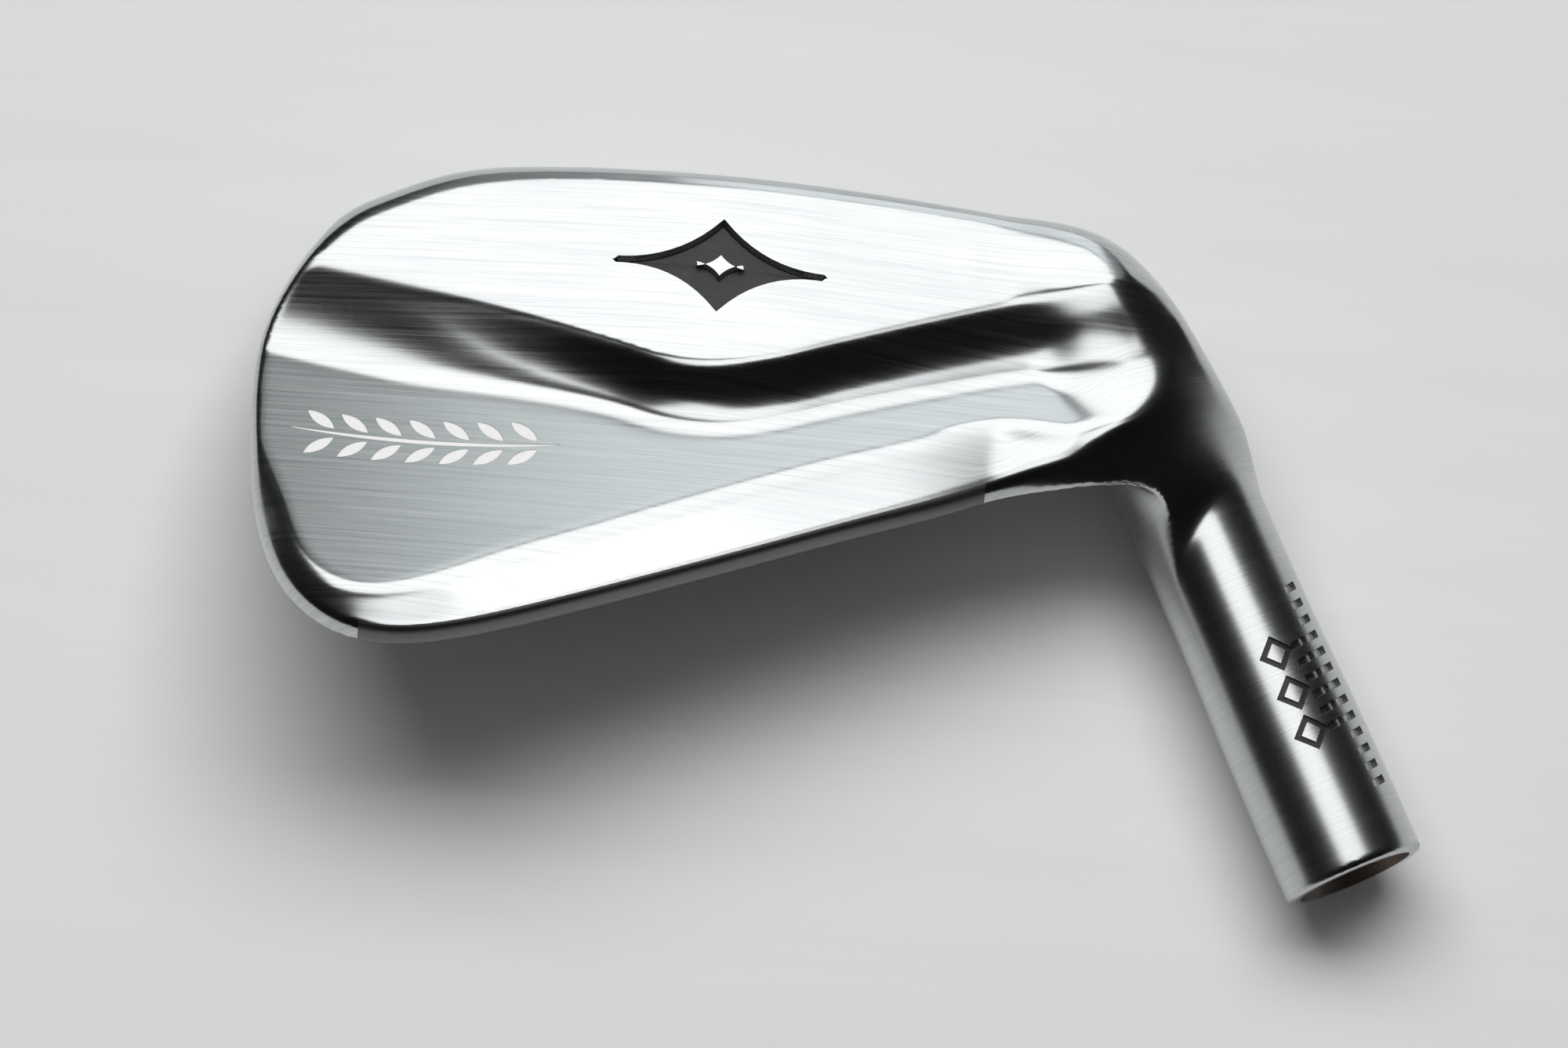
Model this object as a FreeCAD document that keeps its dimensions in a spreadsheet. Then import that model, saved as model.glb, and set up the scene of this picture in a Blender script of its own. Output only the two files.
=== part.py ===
import FreeCAD, Part
import math
import os

import Sketcher

# Iron club head, right-handed, forged in one piece, with its paint-filled marks.
# Every body is drawn as the club stands at address: X to the toe, Y to the target, Z up, and the
# origin where the shaft axis meets the ground. Its Placement then lays the head face down, back up.

Vector = FreeCAD.Vector
Rotation = FreeCAD.Rotation
Placement = FreeCAD.Placement

document = FreeCAD.newDocument("iron_head")
sheet = document.addObject("Spreadsheet::Sheet", "dims")

SIZES = {
    # angles of the club, degrees
    "loft": 30,
    "lie": 62,
    # hosel
    "mouth_radius": 6.7,
    "waist_radius": 6.3,
    "hosel_reach": 66.7,
    "neck_reach": 35,
    "bore_radius": 4.7,
    "bore_depth": 31,
    "sink_radius": 5.5,
    "sink_depth": 1.4,
    # blade outline, in the plane of the face
    "face_forward": 3.8,
    "heel_station": 9,
    "heel_height": 35.5,
    "topline_angle": 25.3,
    "crown_start": 46,
    "crown_radius": 36,
    "corner_radius": 12,
    "toe_reach": 73.7,
    "toe_middle": 33,
    "toe_radius": 47,
    "outline_foot": 12,
    # thicknesses of the blade, square to the face
    "topline_width": 2.6,
    "blade_thickness": 5.4,
    "muscle_thickness": 9.2,
    "trailing_thickness": 14.2,
    "blank_thickness": 18,
    # sole
    "sole_camber": 300,
    "sole_middle": 33,
    "toe_corner": 19,
    "toe_corner_station": 56,
    "sole_trim": 25,
    # score lines
    "score_count": 9,
    "score_pitch": 3.3,
    "score_width": 0.8,
    "score_depth": 0.45,
    "score_first": 6,
    "score_heel": 9.5,
    "score_toe": 62,
    # engraved marks
    "star_depth": 1.1,
    "star_fill": 0.3,
    "sprig_depth": 0.4,
    "sprig_fill": 0.32,
    "hosel_mark_depth": 0.45,
    "hosel_mark_fill": 0.2,
    "stamp_depth": 0.5,
    "number_depth": 0.6,
    "number_fill": 0.3,
}

for row, (name, value) in enumerate(SIZES.items(), start=1):
    sheet.set(f"A{row}", name)
    sheet.set(f"B{row}", str(value))
    sheet.setAlias(f"B{row}", name)
document.recompute()


def size(name):
    """A driving dimension, read back from the sheet."""
    return float(sheet.get(name))


def mixed(first, second, share):
    return first + (second - first) * share


# The unit directions that the whole head is built on.
LOFT = math.radians(size("loft"))
LIE = math.radians(size("lie"))
UP_FACE = Vector(0, -math.sin(LOFT), math.cos(LOFT))
BEHIND_FACE = Vector(0, -math.cos(LOFT), -math.sin(LOFT))
UP_HOSEL = Vector(-math.cos(LIE), 0, math.sin(LIE))
LEADING_EDGE = Vector(0, size("face_forward"), 0)
BORE_START = UP_HOSEL * (size("hosel_reach") - size("sink_depth"))


def sole_height(station):
    """Height of the cambered sole above the ground."""
    run = station - size("sole_middle")
    return size("sole_camber") - math.sqrt(size("sole_camber") ** 2 - run**2)


def lying_placement():
    """The head at rest on a table, with its origin where the straight wall of the bore begins. The
    front of the hosel and the toe end of the leading edge touch the table."""
    face_down = Rotation(Vector(-1, 0, 0), Vector(0, 0, -1), Vector(0, -1, 0), "ZXY")
    across = Vector(math.sin(LIE), 0, math.cos(LIE))
    toe_x = size("toe_corner_station")
    toe_z = sole_height(toe_x)
    toe_y = size("face_forward") - toe_z * math.tan(LOFT)
    drop = size("mouth_radius") - toe_y
    tilt = math.degrees(math.asin(drop / Vector(toe_x, 0, toe_z).dot(across)))
    turned = face_down.multiply(Rotation(UP_HOSEL, tilt))
    return Placement(turned.multVec(BORE_START).negative(), turned)


LYING = lying_placement()


def check(condition, message):
    if not condition:
        raise RuntimeError(message)


# Helpers that draw sketches.

def new_body(label):
    body = document.addObject("PartDesign::Body", label)
    body.Label = label
    return body


def origin_plane(body, role):
    return next(feature for feature in body.Origin.OriginFeatures if feature.Role == role)


def new_sketch(body, name, role, offset, bindings=()):
    """A sketch on one of the body's own origin planes. bindings are pairs of property and formula."""
    sketch = body.newObject("Sketcher::SketchObject", name)
    sketch.AttachmentSupport = [(origin_plane(body, role), "")]
    sketch.MapMode = "FlatFace"
    sketch.AttachmentOffset = offset
    for path, formula in bindings:
        sketch.setExpression(path, formula)
    return sketch


def bind(sketch, name, formula, *constraint):
    """Adds a dimension to the sketch and ties it to the sheet."""
    index = sketch.addConstraint(Sketcher.Constraint(*constraint))
    sketch.renameConstraint(index, name)
    sketch.setExpression(f"Constraints.{name}", formula)


def polygon(sketch, corners):
    """A closed outline of straight lines through (x, y) corners."""
    first = sketch.GeometryCount
    count = len(corners)
    for start, end in zip(corners, corners[1:] + corners[:1]):
        sketch.addGeometry(Part.LineSegment(Vector(*start, 0), Vector(*end, 0)), False)
    for side in range(count):
        following = first + (side + 1) % count
        sketch.addConstraint(Sketcher.Constraint("Coincident", first + side, 2, following, 1))


def face_sketch(body, name):
    """A sketch in the plane of the face: x to the toe, y up the face, normal to the back."""
    offset = Placement(Vector(0, 0, -size("face_forward")), Rotation(Vector(1, 0, 0), size("loft")))
    bindings = (
        (".AttachmentOffset.Base.z", "-dims.face_forward"),
        (".AttachmentOffset.Rotation.Angle", "dims.loft"),
    )
    return new_sketch(body, name, "XZ_Plane", offset, bindings)


def hosel_sketch(body, name):
    """A sketch whose vertical axis is the shaft axis; x is square to it, on the toe side."""
    offset = Placement(Vector(), Rotation(Vector(0, 0, 1), 90 - size("lie")))
    bindings = ((".AttachmentOffset.Rotation.Angle", "90 - dims.lie"),)
    return new_sketch(body, name, "XZ_Plane", offset, bindings)


def station_sketch(body, name, station):
    """A cross-section of the blade: x forward, square to the face, and y up the face."""
    offset = Placement(Vector(size("face_forward"), 0, station), Rotation(Vector(0, 0, 1), size("loft")))
    bindings = (
        (".AttachmentOffset.Base.x", "dims.face_forward"),
        (".AttachmentOffset.Rotation.Angle", "dims.loft"),
    )
    return new_sketch(body, name, "YZ_Plane", offset, bindings)


def feature(body, kind, name, profile, **settings):
    made = body.newObject(f"PartDesign::{kind}", name)
    made.Profile = profile
    for setting, value in settings.items():
        setattr(made, setting, value)
    return made


# The shape of the blade, as formulas along the club from heel to toe.

# Height up the face at which the muscle reaches its trailing thickness.
TRAILING_HEIGHT = 11


def topline_height(station):
    """Height up the face of the topline, before its rounded toe end."""
    rise = math.tan(math.radians(size("topline_angle")))
    return size("heel_height") + (station - size("heel_station")) * rise


def muscle_height(station):
    """Height up the face of the muscle's upper edge: highest in the middle, falling to both ends."""
    middle = 34
    run = station - middle
    slope = 0.26 if run > 0 else 0.36
    return 29 - slope * (math.hypot(run, 5) - 1)


def muscle_foot(station):
    """Height up the face where the slope above the muscle meets the flat blade."""
    middle = 36
    run = station - middle
    slope = 0.1 if run > 0 else 0.29
    return 31.5 - slope * (math.hypot(run, 6) - 1)


def toe_share(station):
    """1 over most of the blade, falling to 0.45 at the toe, where the muscle thins out."""
    start, end = 48, size("toe_reach")
    run = min(max((station - start) / (end - start), 0), 1)
    return 1 - 0.55 * run * run


def back_poles(station):
    """The back of the blade at one station, from below the sole to above the topline, as
    (height up the face, thickness behind it)."""
    blade = size("blade_thickness")
    share = toe_share(station)
    muscle = mixed(blade, size("muscle_thickness"), share)
    trailing = mixed(blade, size("trailing_thickness"), share)
    edge = muscle_height(station)
    foot = muscle_foot(station)
    top = topline_height(station)
    lean = (trailing - muscle) / (edge - TRAILING_HEIGHT)
    bevel = (blade - size("topline_width")) / 4.2
    return [
        (-12, muscle + lean * (edge + 12)),
        (mixed(-12, edge, 0.5), muscle + lean * (edge + 12) / 2),
        (edge - 2.4, muscle + lean * 2.4),
        (edge, muscle),
        (mixed(edge, foot, 0.45), mixed(muscle, blade, 0.65)),
        (foot, blade),
        (foot + 3.5, blade),
        (top - 6.5, blade),
        (top - 3.8, blade - 0.25),
        (top, size("topline_width")),
        (top + 6, size("topline_width") - 6 * bevel),
    ]


def smooth_curve(points):
    """An open curve that rounds the corners of the line through (x, y) points."""
    degree = 2
    count = len(points)
    inner = count - degree - 1
    knots = [index / (inner + 1) for index in range(inner + 2)]
    counts = [degree + 1] + [1] * inner + [degree + 1]
    curve = Part.BSplineCurve()
    poles = [Vector(x, y, 0) for x, y in points]
    curve.buildFromPolesMultsKnots(poles, counts, knots, False, degree)
    return curve


def back_section(body, station):
    """Everything behind the back of the blade at one station, for the cut that shapes the back."""
    sketch = station_sketch(body, f"back_at_{round(station)}", station)
    curve = smooth_curve([(-thickness, height) for height, thickness in back_poles(station)])
    foot, top = curve.StartPoint, curve.EndPoint
    far = Vector(-45, foot.y, 0)
    over = Vector(-45, top.y, 0)
    sketch.addGeometry(curve, False)
    for start, end in ((top, over), (over, far), (far, foot)):
        sketch.addGeometry(Part.LineSegment(start, end), False)
    for edge in range(4):
        sketch.addConstraint(Sketcher.Constraint("Coincident", edge, 2, (edge + 1) % 4, 1))
    return sketch


# The forged head.

def blade_outline(body):
    """The blade seen square to the face: topline, crown, toe corner and toe, with a foot below the sole."""
    sketch = face_sketch(body, "blade_outline")
    heel = size("heel_station")
    foot = -size("outline_foot")
    crown_x = size("crown_start")
    crown_y = topline_height(crown_x)
    angle = math.radians(size("topline_angle"))
    radius = size("crown_radius")
    crown = Vector(crown_x + radius * math.sin(angle), crown_y - radius * math.cos(angle), 0)
    toe_radius = size("toe_radius")
    toe = Vector(size("toe_reach") - toe_radius, size("toe_middle"), 0)
    corner_radius = size("corner_radius")
    # The corner arc touches the crown and toe arcs from inside, so its centre is known from two lengths.
    reach_crown = radius - corner_radius
    reach_toe = toe_radius - corner_radius
    between = toe.sub(crown)
    length = between.Length
    along = (reach_crown**2 - reach_toe**2 + length**2) / (2 * length)
    off = math.sqrt(max(reach_crown**2 - along**2, 0))
    direction = between.normalize()
    side = Vector(-direction.y, direction.x, 0)
    centres = [crown + direction * along + side * sign * off for sign in (1, -1)]
    corner = max(centres, key=lambda point: point.x)
    out_crown = (corner - crown).normalize()
    out_toe = (corner - toe).normalize()
    turn_crown = math.atan2(out_crown.y, out_crown.x)
    turn_toe = math.atan2(out_toe.y, out_toe.x)
    turn_foot = math.asin((foot - toe.y) / toe_radius)
    toe_foot = toe + Vector(math.cos(turn_foot), math.sin(turn_foot), 0) * toe_radius
    normal = Vector(0, 0, 1)
    shape = [
        Part.LineSegment(Vector(heel, foot, 0), Vector(heel, topline_height(heel), 0)),
        Part.LineSegment(Vector(heel, topline_height(heel), 0), Vector(crown_x, crown_y, 0)),
        Part.ArcOfCircle(Part.Circle(crown, normal, radius), turn_crown, math.pi / 2 + angle),
        Part.ArcOfCircle(Part.Circle(corner, normal, corner_radius), turn_toe, turn_crown),
        Part.ArcOfCircle(Part.Circle(toe, normal, toe_radius), turn_foot, turn_toe),
        Part.LineSegment(toe_foot, Vector(heel, foot, 0)),
    ]
    sketch.addGeometry(shape, False)
    for joint in (
        ("Coincident", 0, 2, 1, 1),
        ("Tangent", 1, 2, 2, 2),
        ("Tangent", 2, 1, 3, 2),
        ("Tangent", 3, 1, 4, 2),
        ("Coincident", 4, 1, 5, 1),
        ("Coincident", 5, 2, 0, 1),
        ("Vertical", 0),
        ("Horizontal", 5),
    ):
        sketch.addConstraint(Sketcher.Constraint(*joint))
    bind(sketch, "heel", "dims.heel_station", "DistanceX", -1, 1, 0, 1, heel)
    bind(sketch, "foot", "dims.outline_foot", "DistanceY", 0, 1, -1, 1, -foot)
    bind(sketch, "heel_height", "dims.heel_height", "DistanceY", -1, 1, 0, 2, size("heel_height"))
    bind(sketch, "topline_angle", "dims.topline_angle", "Angle", 1, angle)
    bind(sketch, "crown_x", "dims.crown_start", "DistanceX", -1, 1, 1, 2, crown_x)
    bind(sketch, "crown_round", "dims.crown_radius", "Radius", 2, radius)
    bind(sketch, "corner_round", "dims.corner_radius", "Radius", 3, corner_radius)
    bind(sketch, "toe_round", "dims.toe_radius", "Radius", 4, toe_radius)
    bind(sketch, "toe_across", "dims.toe_reach - dims.toe_radius", "DistanceX", -1, 1, 4, 3, toe.x)
    bind(sketch, "toe_level", "dims.toe_middle", "DistanceY", -1, 1, 4, 3, size("toe_middle"))
    return sketch


def sole_trim_sketch(body):
    """Everything below the sole, seen from behind: the camber and the round toe corner."""
    sketch = new_sketch(body, "sole_trim", "XZ_Plane", Placement())
    camber = size("sole_camber")
    middle = size("sole_middle")
    station = size("toe_corner_station")
    radius = size("toe_corner")
    diagonal = math.sqrt(0.5)
    heel_x = size("heel_station") - 5
    toe_level = sole_height(station)
    heel_end = Vector(heel_x, sole_height(heel_x), 0)
    toe_start = Vector(station, toe_level, 0)
    toe_bend = Vector(station + radius * diagonal, toe_level + radius * (1 - diagonal), 0)
    toe_end = Vector(station + radius, toe_level + radius, 0)
    far_x = station + 2 * radius
    below = -size("sole_trim")
    far_high = Vector(far_x, toe_end.y, 0)
    far_low = Vector(far_x, below, 0)
    heel_low = Vector(heel_x, below, 0)
    shape = [
        Part.Arc(heel_end, Vector(middle, 0, 0), toe_start),
        Part.Arc(toe_start, toe_bend, toe_end),
        Part.LineSegment(toe_end, far_high),
        Part.LineSegment(far_high, far_low),
        Part.LineSegment(far_low, heel_low),
        Part.LineSegment(heel_low, heel_end),
    ]
    sketch.addGeometry(shape, False)
    bind(sketch, "camber", "dims.sole_camber", "Radius", 0, camber)
    bind(sketch, "toe_corner", "dims.toe_corner", "Radius", 1, radius)
    return sketch


def make_blade():
    """The blade: the outline padded, then cut to its back, to its sole and to its score lines."""
    body = new_body("blade")
    pad = feature(body, "Pad", "blade_blank", blade_outline(body))
    pad.setExpression("Length", "dims.blank_thickness")
    document.recompute()
    blank_volume = body.Shape.Volume

    stations = [3, 14, 24, 34, 44, 54, 64, 72, 80]
    sections = [back_section(body, station) for station in stations]
    feature(body, "SubtractiveLoft", "back_shape", sections[0], Sections=sections[1:], Ruled=False)
    document.recompute()
    shaped_volume = body.Shape.Volume

    trim = feature(body, "Pocket", "sole_shape", sole_trim_sketch(body), Midplane=True)
    trim.setExpression("Length", "4 * dims.sole_trim")
    document.recompute()
    trimmed_volume = body.Shape.Volume

    groove = face_sketch(body, "score_line")
    low = size("score_first")
    half = size("score_width") / 2
    corners = [(size("score_heel"), low - half), (size("score_toe"), low - half)]
    corners += [(size("score_toe"), low + half), (size("score_heel"), low + half)]
    polygon(groove, corners)
    for side in (0, 2):
        groove.addConstraint(Sketcher.Constraint("Horizontal", side))
    for side in (1, 3):
        groove.addConstraint(Sketcher.Constraint("Vertical", side))
    bind(groove, "heel_end", "dims.score_heel", "DistanceX", -1, 1, 0, 1, size("score_heel"))
    bind(groove, "toe_end", "dims.score_toe", "DistanceX", -1, 1, 0, 2, size("score_toe"))
    bind(groove, "low_side", "dims.score_first - dims.score_width / 2", "DistanceY", -1, 1, 0, 1, low - half)
    bind(groove, "width", "dims.score_width", "DistanceY", 1, 1, 1, 2, 2 * half)
    score = feature(body, "Pocket", "score", groove, Reversed=True)
    score.setExpression("Length", "dims.score_depth")
    document.recompute()
    one_line = trimmed_volume - body.Shape.Volume
    pattern = body.newObject("PartDesign::LinearPattern", "score_lines")
    pattern.Originals = [score]
    pattern.Direction = (groove, ["V_Axis"])
    pattern.setExpression("Occurrences", "dims.score_count")
    pattern.setExpression("Length", "dims.score_pitch * (dims.score_count - 1)")
    body.Tip = pattern
    document.recompute()
    all_lines = trimmed_volume - body.Shape.Volume
    check(blank_volume > shaped_volume > trimmed_volume, "a cut of the blade removed nothing")
    check(all_lines > 0.8 * size("score_count") * one_line, "the score lines are missing")
    return body


def make_hosel():
    """The hosel: a turned tube stub with a slight waist above the neck, still without its bore."""
    body = new_body("hosel")
    sketch = hosel_sketch(body, "hosel_profile")
    mouth, waist = size("mouth_radius"), size("waist_radius")
    low, high = size("neck_reach"), size("hosel_reach")
    edge = 0.35
    # The turned foot of the hosel sinks a little way into the neck.
    sunk = 1.5
    corners = [(0, low - sunk), (waist - 0.4, low - sunk), (waist, low + 0.5), (mouth, high - 14)]
    corners += [(mouth, high - edge), (mouth - edge, high), (0, high)]
    polygon(sketch, corners)
    bind(sketch, "waist", "dims.waist_radius", "DistanceX", -1, 1, 1, 2, waist)
    bind(sketch, "mouth", "dims.mouth_radius", "DistanceX", -1, 1, 3, 2, mouth)
    bind(sketch, "reach", "dims.hosel_reach", "DistanceY", -1, 1, 6, 1, high)
    feature(body, "Revolution", "hosel_turned", sketch, ReferenceAxis=(sketch, ["V_Axis"]), Angle=360)
    document.recompute()
    return body


def make_bore():
    """What the bore removes: the round hole for the shaft, with a countersunk mouth."""
    body = new_body("bore_tool")
    sketch = hosel_sketch(body, "bore_profile")
    radius, sink = size("bore_radius"), size("sink_radius")
    mouth = size("hosel_reach")
    floor = mouth - size("bore_depth")
    shoulder = mouth - size("sink_depth")
    beyond = mouth + 1
    drill_tip = 1.5
    corners = [(0, floor - drill_tip), (radius, floor), (radius, shoulder)]
    corners += [(sink, mouth), (sink, beyond), (0, beyond)]
    polygon(sketch, corners)
    bind(sketch, "radius", "dims.bore_radius", "DistanceX", -1, 1, 1, 1, radius)
    bind(sketch, "sink", "dims.sink_radius", "DistanceX", -1, 1, 3, 1, sink)
    bind(sketch, "floor", "dims.hosel_reach - dims.bore_depth", "DistanceY", -1, 1, 1, 1, floor)
    feature(body, "Revolution", "bore_turned", sketch, ReferenceAxis=(sketch, ["V_Axis"]), Angle=360)
    document.recompute()
    return body


def heel_ring():
    """The blade's cross-section at the heel station, where the neck meets it."""
    station = size("heel_station")
    top = topline_height(station)
    blade = size("blade_thickness")
    edge, foot = muscle_height(station), muscle_foot(station)
    ground = sole_height(station)

    def on_sole(behind):
        return (-behind, (ground + behind * math.sin(LOFT)) / math.cos(LOFT))

    ring = [(0, top * share) for share in (1, 0.75, 0.5, 0.25)]
    ring += [on_sole(0.4), on_sole(4.5), on_sole(9.5), (-13.6, 10.6), (-11.8, 15), (-9.4, edge - 1)]
    ring += [(-6, foot - 1), (-blade, foot + 4.5), (-blade + 0.3, top - 4), (-size("topline_width"), top)]
    corner = LEADING_EDGE + Vector(station, 0, 0)
    return [corner + UP_FACE * up - BEHIND_FACE * forward for forward, up in ring]


def make_neck():
    """The neck: each point of the hosel's ring runs on an arc down and round to the blade's heel ring."""
    heel = heel_ring()
    count = len(heel)
    across = Vector(math.sin(LIE), 0, math.cos(LIE))
    rise = math.tan(math.radians(size("topline_angle"))) * math.cos(LOFT)
    top = heel[0].z
    arcs = []
    for index, end in enumerate(heel):
        turn = math.radians(8) + 2 * math.pi * index / count
        radial = across * math.cos(turn) + Vector(0, 1, 0) * math.sin(turn)
        start = UP_HOSEL * size("neck_reach") + radial * size("waist_radius")
        slope = rise * max(end.z, 0) / top
        # Where the line down the hosel meets the line along the blade, seen from behind.
        drop = (start.z - end.z + slope * (end.x - start.x)) / (math.sin(LIE) + slope * math.cos(LIE))
        bend = start - UP_HOSEL * drop
        bend.y = (start.y + end.y) / 2
        arcs.append((start, bend, end))
    # The first and last rings are a little smaller, and sink into the hosel and the blade.
    sunk = 1.5
    shrink = 0.94
    collar = UP_HOSEL * size("neck_reach")
    rings = [[collar + (start - collar) * shrink + UP_HOSEL * sunk for start, bend, end in arcs]]
    ring_count = 6
    for step in range(ring_count):
        share = step / (ring_count - 1)
        rings.append(
            [
                start * (1 - share) ** 2 + bend * (2 * share * (1 - share)) + end * share**2
                for start, bend, end in arcs
            ]
        )
    centre = sum(heel, Vector()) * (1 / count)
    rings.append([centre + (point - centre) * shrink + Vector(sunk, 0, 0) for point in heel])
    wires = []
    for points in rings:
        ring = Part.BSplineCurve()
        ring.interpolate(Points=points, PeriodicFlag=True)
        wires.append(Part.Wire([ring.toShape()]))
    neck = document.addObject("Part::Feature", "neck")
    neck.Label = "neck"
    neck.Shape = Part.makeLoft(wires, True, False)
    return neck


# The engraved marks. Each is a recess cut into the head, and most hold a solid of paint.

def mark_frame(turn, point):
    """A sketch frame on the back: turned about the heel-to-toe line by turn, at a point of the club."""
    return Placement(Vector(point.x, point.z, -point.y), Rotation(Vector(1, 0, 0), turn))


def hosel_frame(reach, turn):
    """A sketch frame on the hosel's skin: its vertical runs up the hosel, turned to the heel side."""
    lean = Rotation(Vector(0, 0, 1), 90 - size("lie"))
    facing = lean.multiply(Rotation(Vector(0, 1, 0), turn))
    along = lean.multVec(Vector(0, reach, 0))
    return Placement(along + facing.multVec(Vector(0, 0, size("mouth_radius"))), facing)


def mark_body(label, frame, draw, level, length):
    """A solid of the mark's outline that starts at a level above the skin. length is a formula."""
    body = new_body(label)
    offset = frame.multiply(Placement(Vector(0, 0, level), Rotation()))
    sketch = new_sketch(body, f"{label}_outline", "XZ_Plane", offset)
    draw(sketch)
    pad = feature(body, "Pad", f"{label}_pad", sketch)
    pad.setExpression("Length", length)
    document.recompute()
    return body


def closed_arcs(sketch, arcs):
    """A closed outline of arcs, each given by its start, middle and end."""
    first = sketch.GeometryCount
    count = len(arcs)
    for start, middle, end in arcs:
        sketch.addGeometry(Part.Arc(Vector(*start, 0), Vector(*middle, 0), Vector(*end, 0)), False)
    for side in range(count):
        edge, following = first + side, first + (side + 1) % count
        corner = Vector(*arcs[side][2], 0)
        constraint = Sketcher.Constraint(
            "Coincident", edge, end_at(sketch, edge, corner), following, end_at(sketch, following, corner)
        )
        sketch.addConstraint(constraint)


def end_at(sketch, edge, corner):
    """Which end of a sketch's edge lies on a corner: 1 for its start or 2 for its end. A sketch keeps
    every arc anticlockwise, so its start isn't always the one it was drawn from."""
    to_start = sketch.getPoint(edge, 1).distanceToPoint(corner)
    to_end = sketch.getPoint(edge, 2).distanceToPoint(corner)
    return 1 if to_start < to_end else 2


def draw_star(sketch):
    """A long four-pointed star with hollow sides, and a small one of metal left standing inside it."""
    outer, inner = (10.5, 4.6), (2.2, 1.3)
    hollow = 0.09
    for half_length, half_height in (outer, inner):
        tips = [(half_length, 0), (0, half_height), (-half_length, 0), (0, -half_height)]
        arcs = []
        for start, end in zip(tips, tips[1:] + tips[:1]):
            middle = ((start[0] + end[0]) / 2, (start[1] + end[1]) / 2)
            inward = (-abs(end[1] - start[1]), -abs(end[0] - start[0]))
            pulled = [
                place + math.copysign(hollow * pull, -place)
                for place, pull in zip(middle, inward)
            ]
            arcs.append((start, tuple(pulled), end))
        closed_arcs(sketch, arcs)


def draw_sprig(sketch):
    """A laurel sprig: a thin bowed stem with leaves on both sides of it."""
    reach, bow, half_stem = 12.5, 0.9, 0.2
    ends = ((-reach, 0), (reach, 0))
    closed_arcs(sketch, [(ends[0], (0, bow + half_stem), ends[1]), (ends[1], (0, bow - half_stem), ends[0])])
    leaf_count, leaf_length, leaf_half_width, leaf_lean = 7, 3.2, 0.5, 38
    first_leaf, last_leaf = -reach + 2.2, reach - 4.2
    root_gap = 0.55
    for index in range(leaf_count):
        station = mixed(first_leaf, last_leaf, index / (leaf_count - 1))
        stem = bow * (1 - (station / reach) ** 2)
        for side in (1, -1):
            angle = math.radians(leaf_lean) * side
            along = Vector(math.cos(angle), math.sin(angle), 0)
            beside = Vector(-along.y, along.x, 0)
            root = Vector(station, stem + root_gap * side, 0)
            tip = root + along * leaf_length
            centre = root + along * (0.47 * leaf_length)
            bulges = [centre + beside * leaf_half_width, centre - beside * leaf_half_width]
            root_xy, tip_xy = (root.x, root.y), (tip.x, tip.y)
            closed_arcs(
                sketch,
                [
                    (root_xy, (bulges[0].x, bulges[0].y), tip_xy),
                    (tip_xy, (bulges[1].x, bulges[1].y), root_xy),
                ],
            )


def draw_diamonds(sketch):
    """Three outlined diamonds in a row up the hosel."""
    spacing = 4
    outer, inner = 1.7, 1.1
    for level in (-spacing, 0, spacing):
        for half in (outer, inner):
            polygon(sketch, [(half, level), (0, level + half), (-half, level), (0, level - half)])


def stamp_row(count, pitch):
    """A row of short slanted bars up the hosel."""

    half_length, height, slant = 0.9, 0.6, 0.3

    def draw(sketch):
        for index in range(count):
            low = (index - (count - 1) / 2) * pitch - height / 2 - slant / 2
            left = [(-half_length, low + height), (-half_length, low)]
            right = [(half_length, low + slant), (half_length, low + slant + height)]
            polygon(sketch, left + right)

    return draw


def draw_seven(sketch):
    """A plain 7, as any set of irons is numbered."""
    half_width, half_height, stroke = 2.4, 3.4, 1.1
    bar = half_height - stroke
    foot_left, foot_right, knee = -1.5, -0.2, 1.1
    corners = [(-half_width, half_height), (half_width, half_height), (half_width, bar)]
    corners += [(foot_right, -half_height), (foot_left, -half_height), (knee, bar), (-half_width, bar)]
    polygon(sketch, corners)


def on_face(station, up, behind):
    """The point at a height up the face and a distance behind it."""
    return LEADING_EDGE + Vector(station, 0, 0) + UP_FACE * up + BEHIND_FACE * behind


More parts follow.
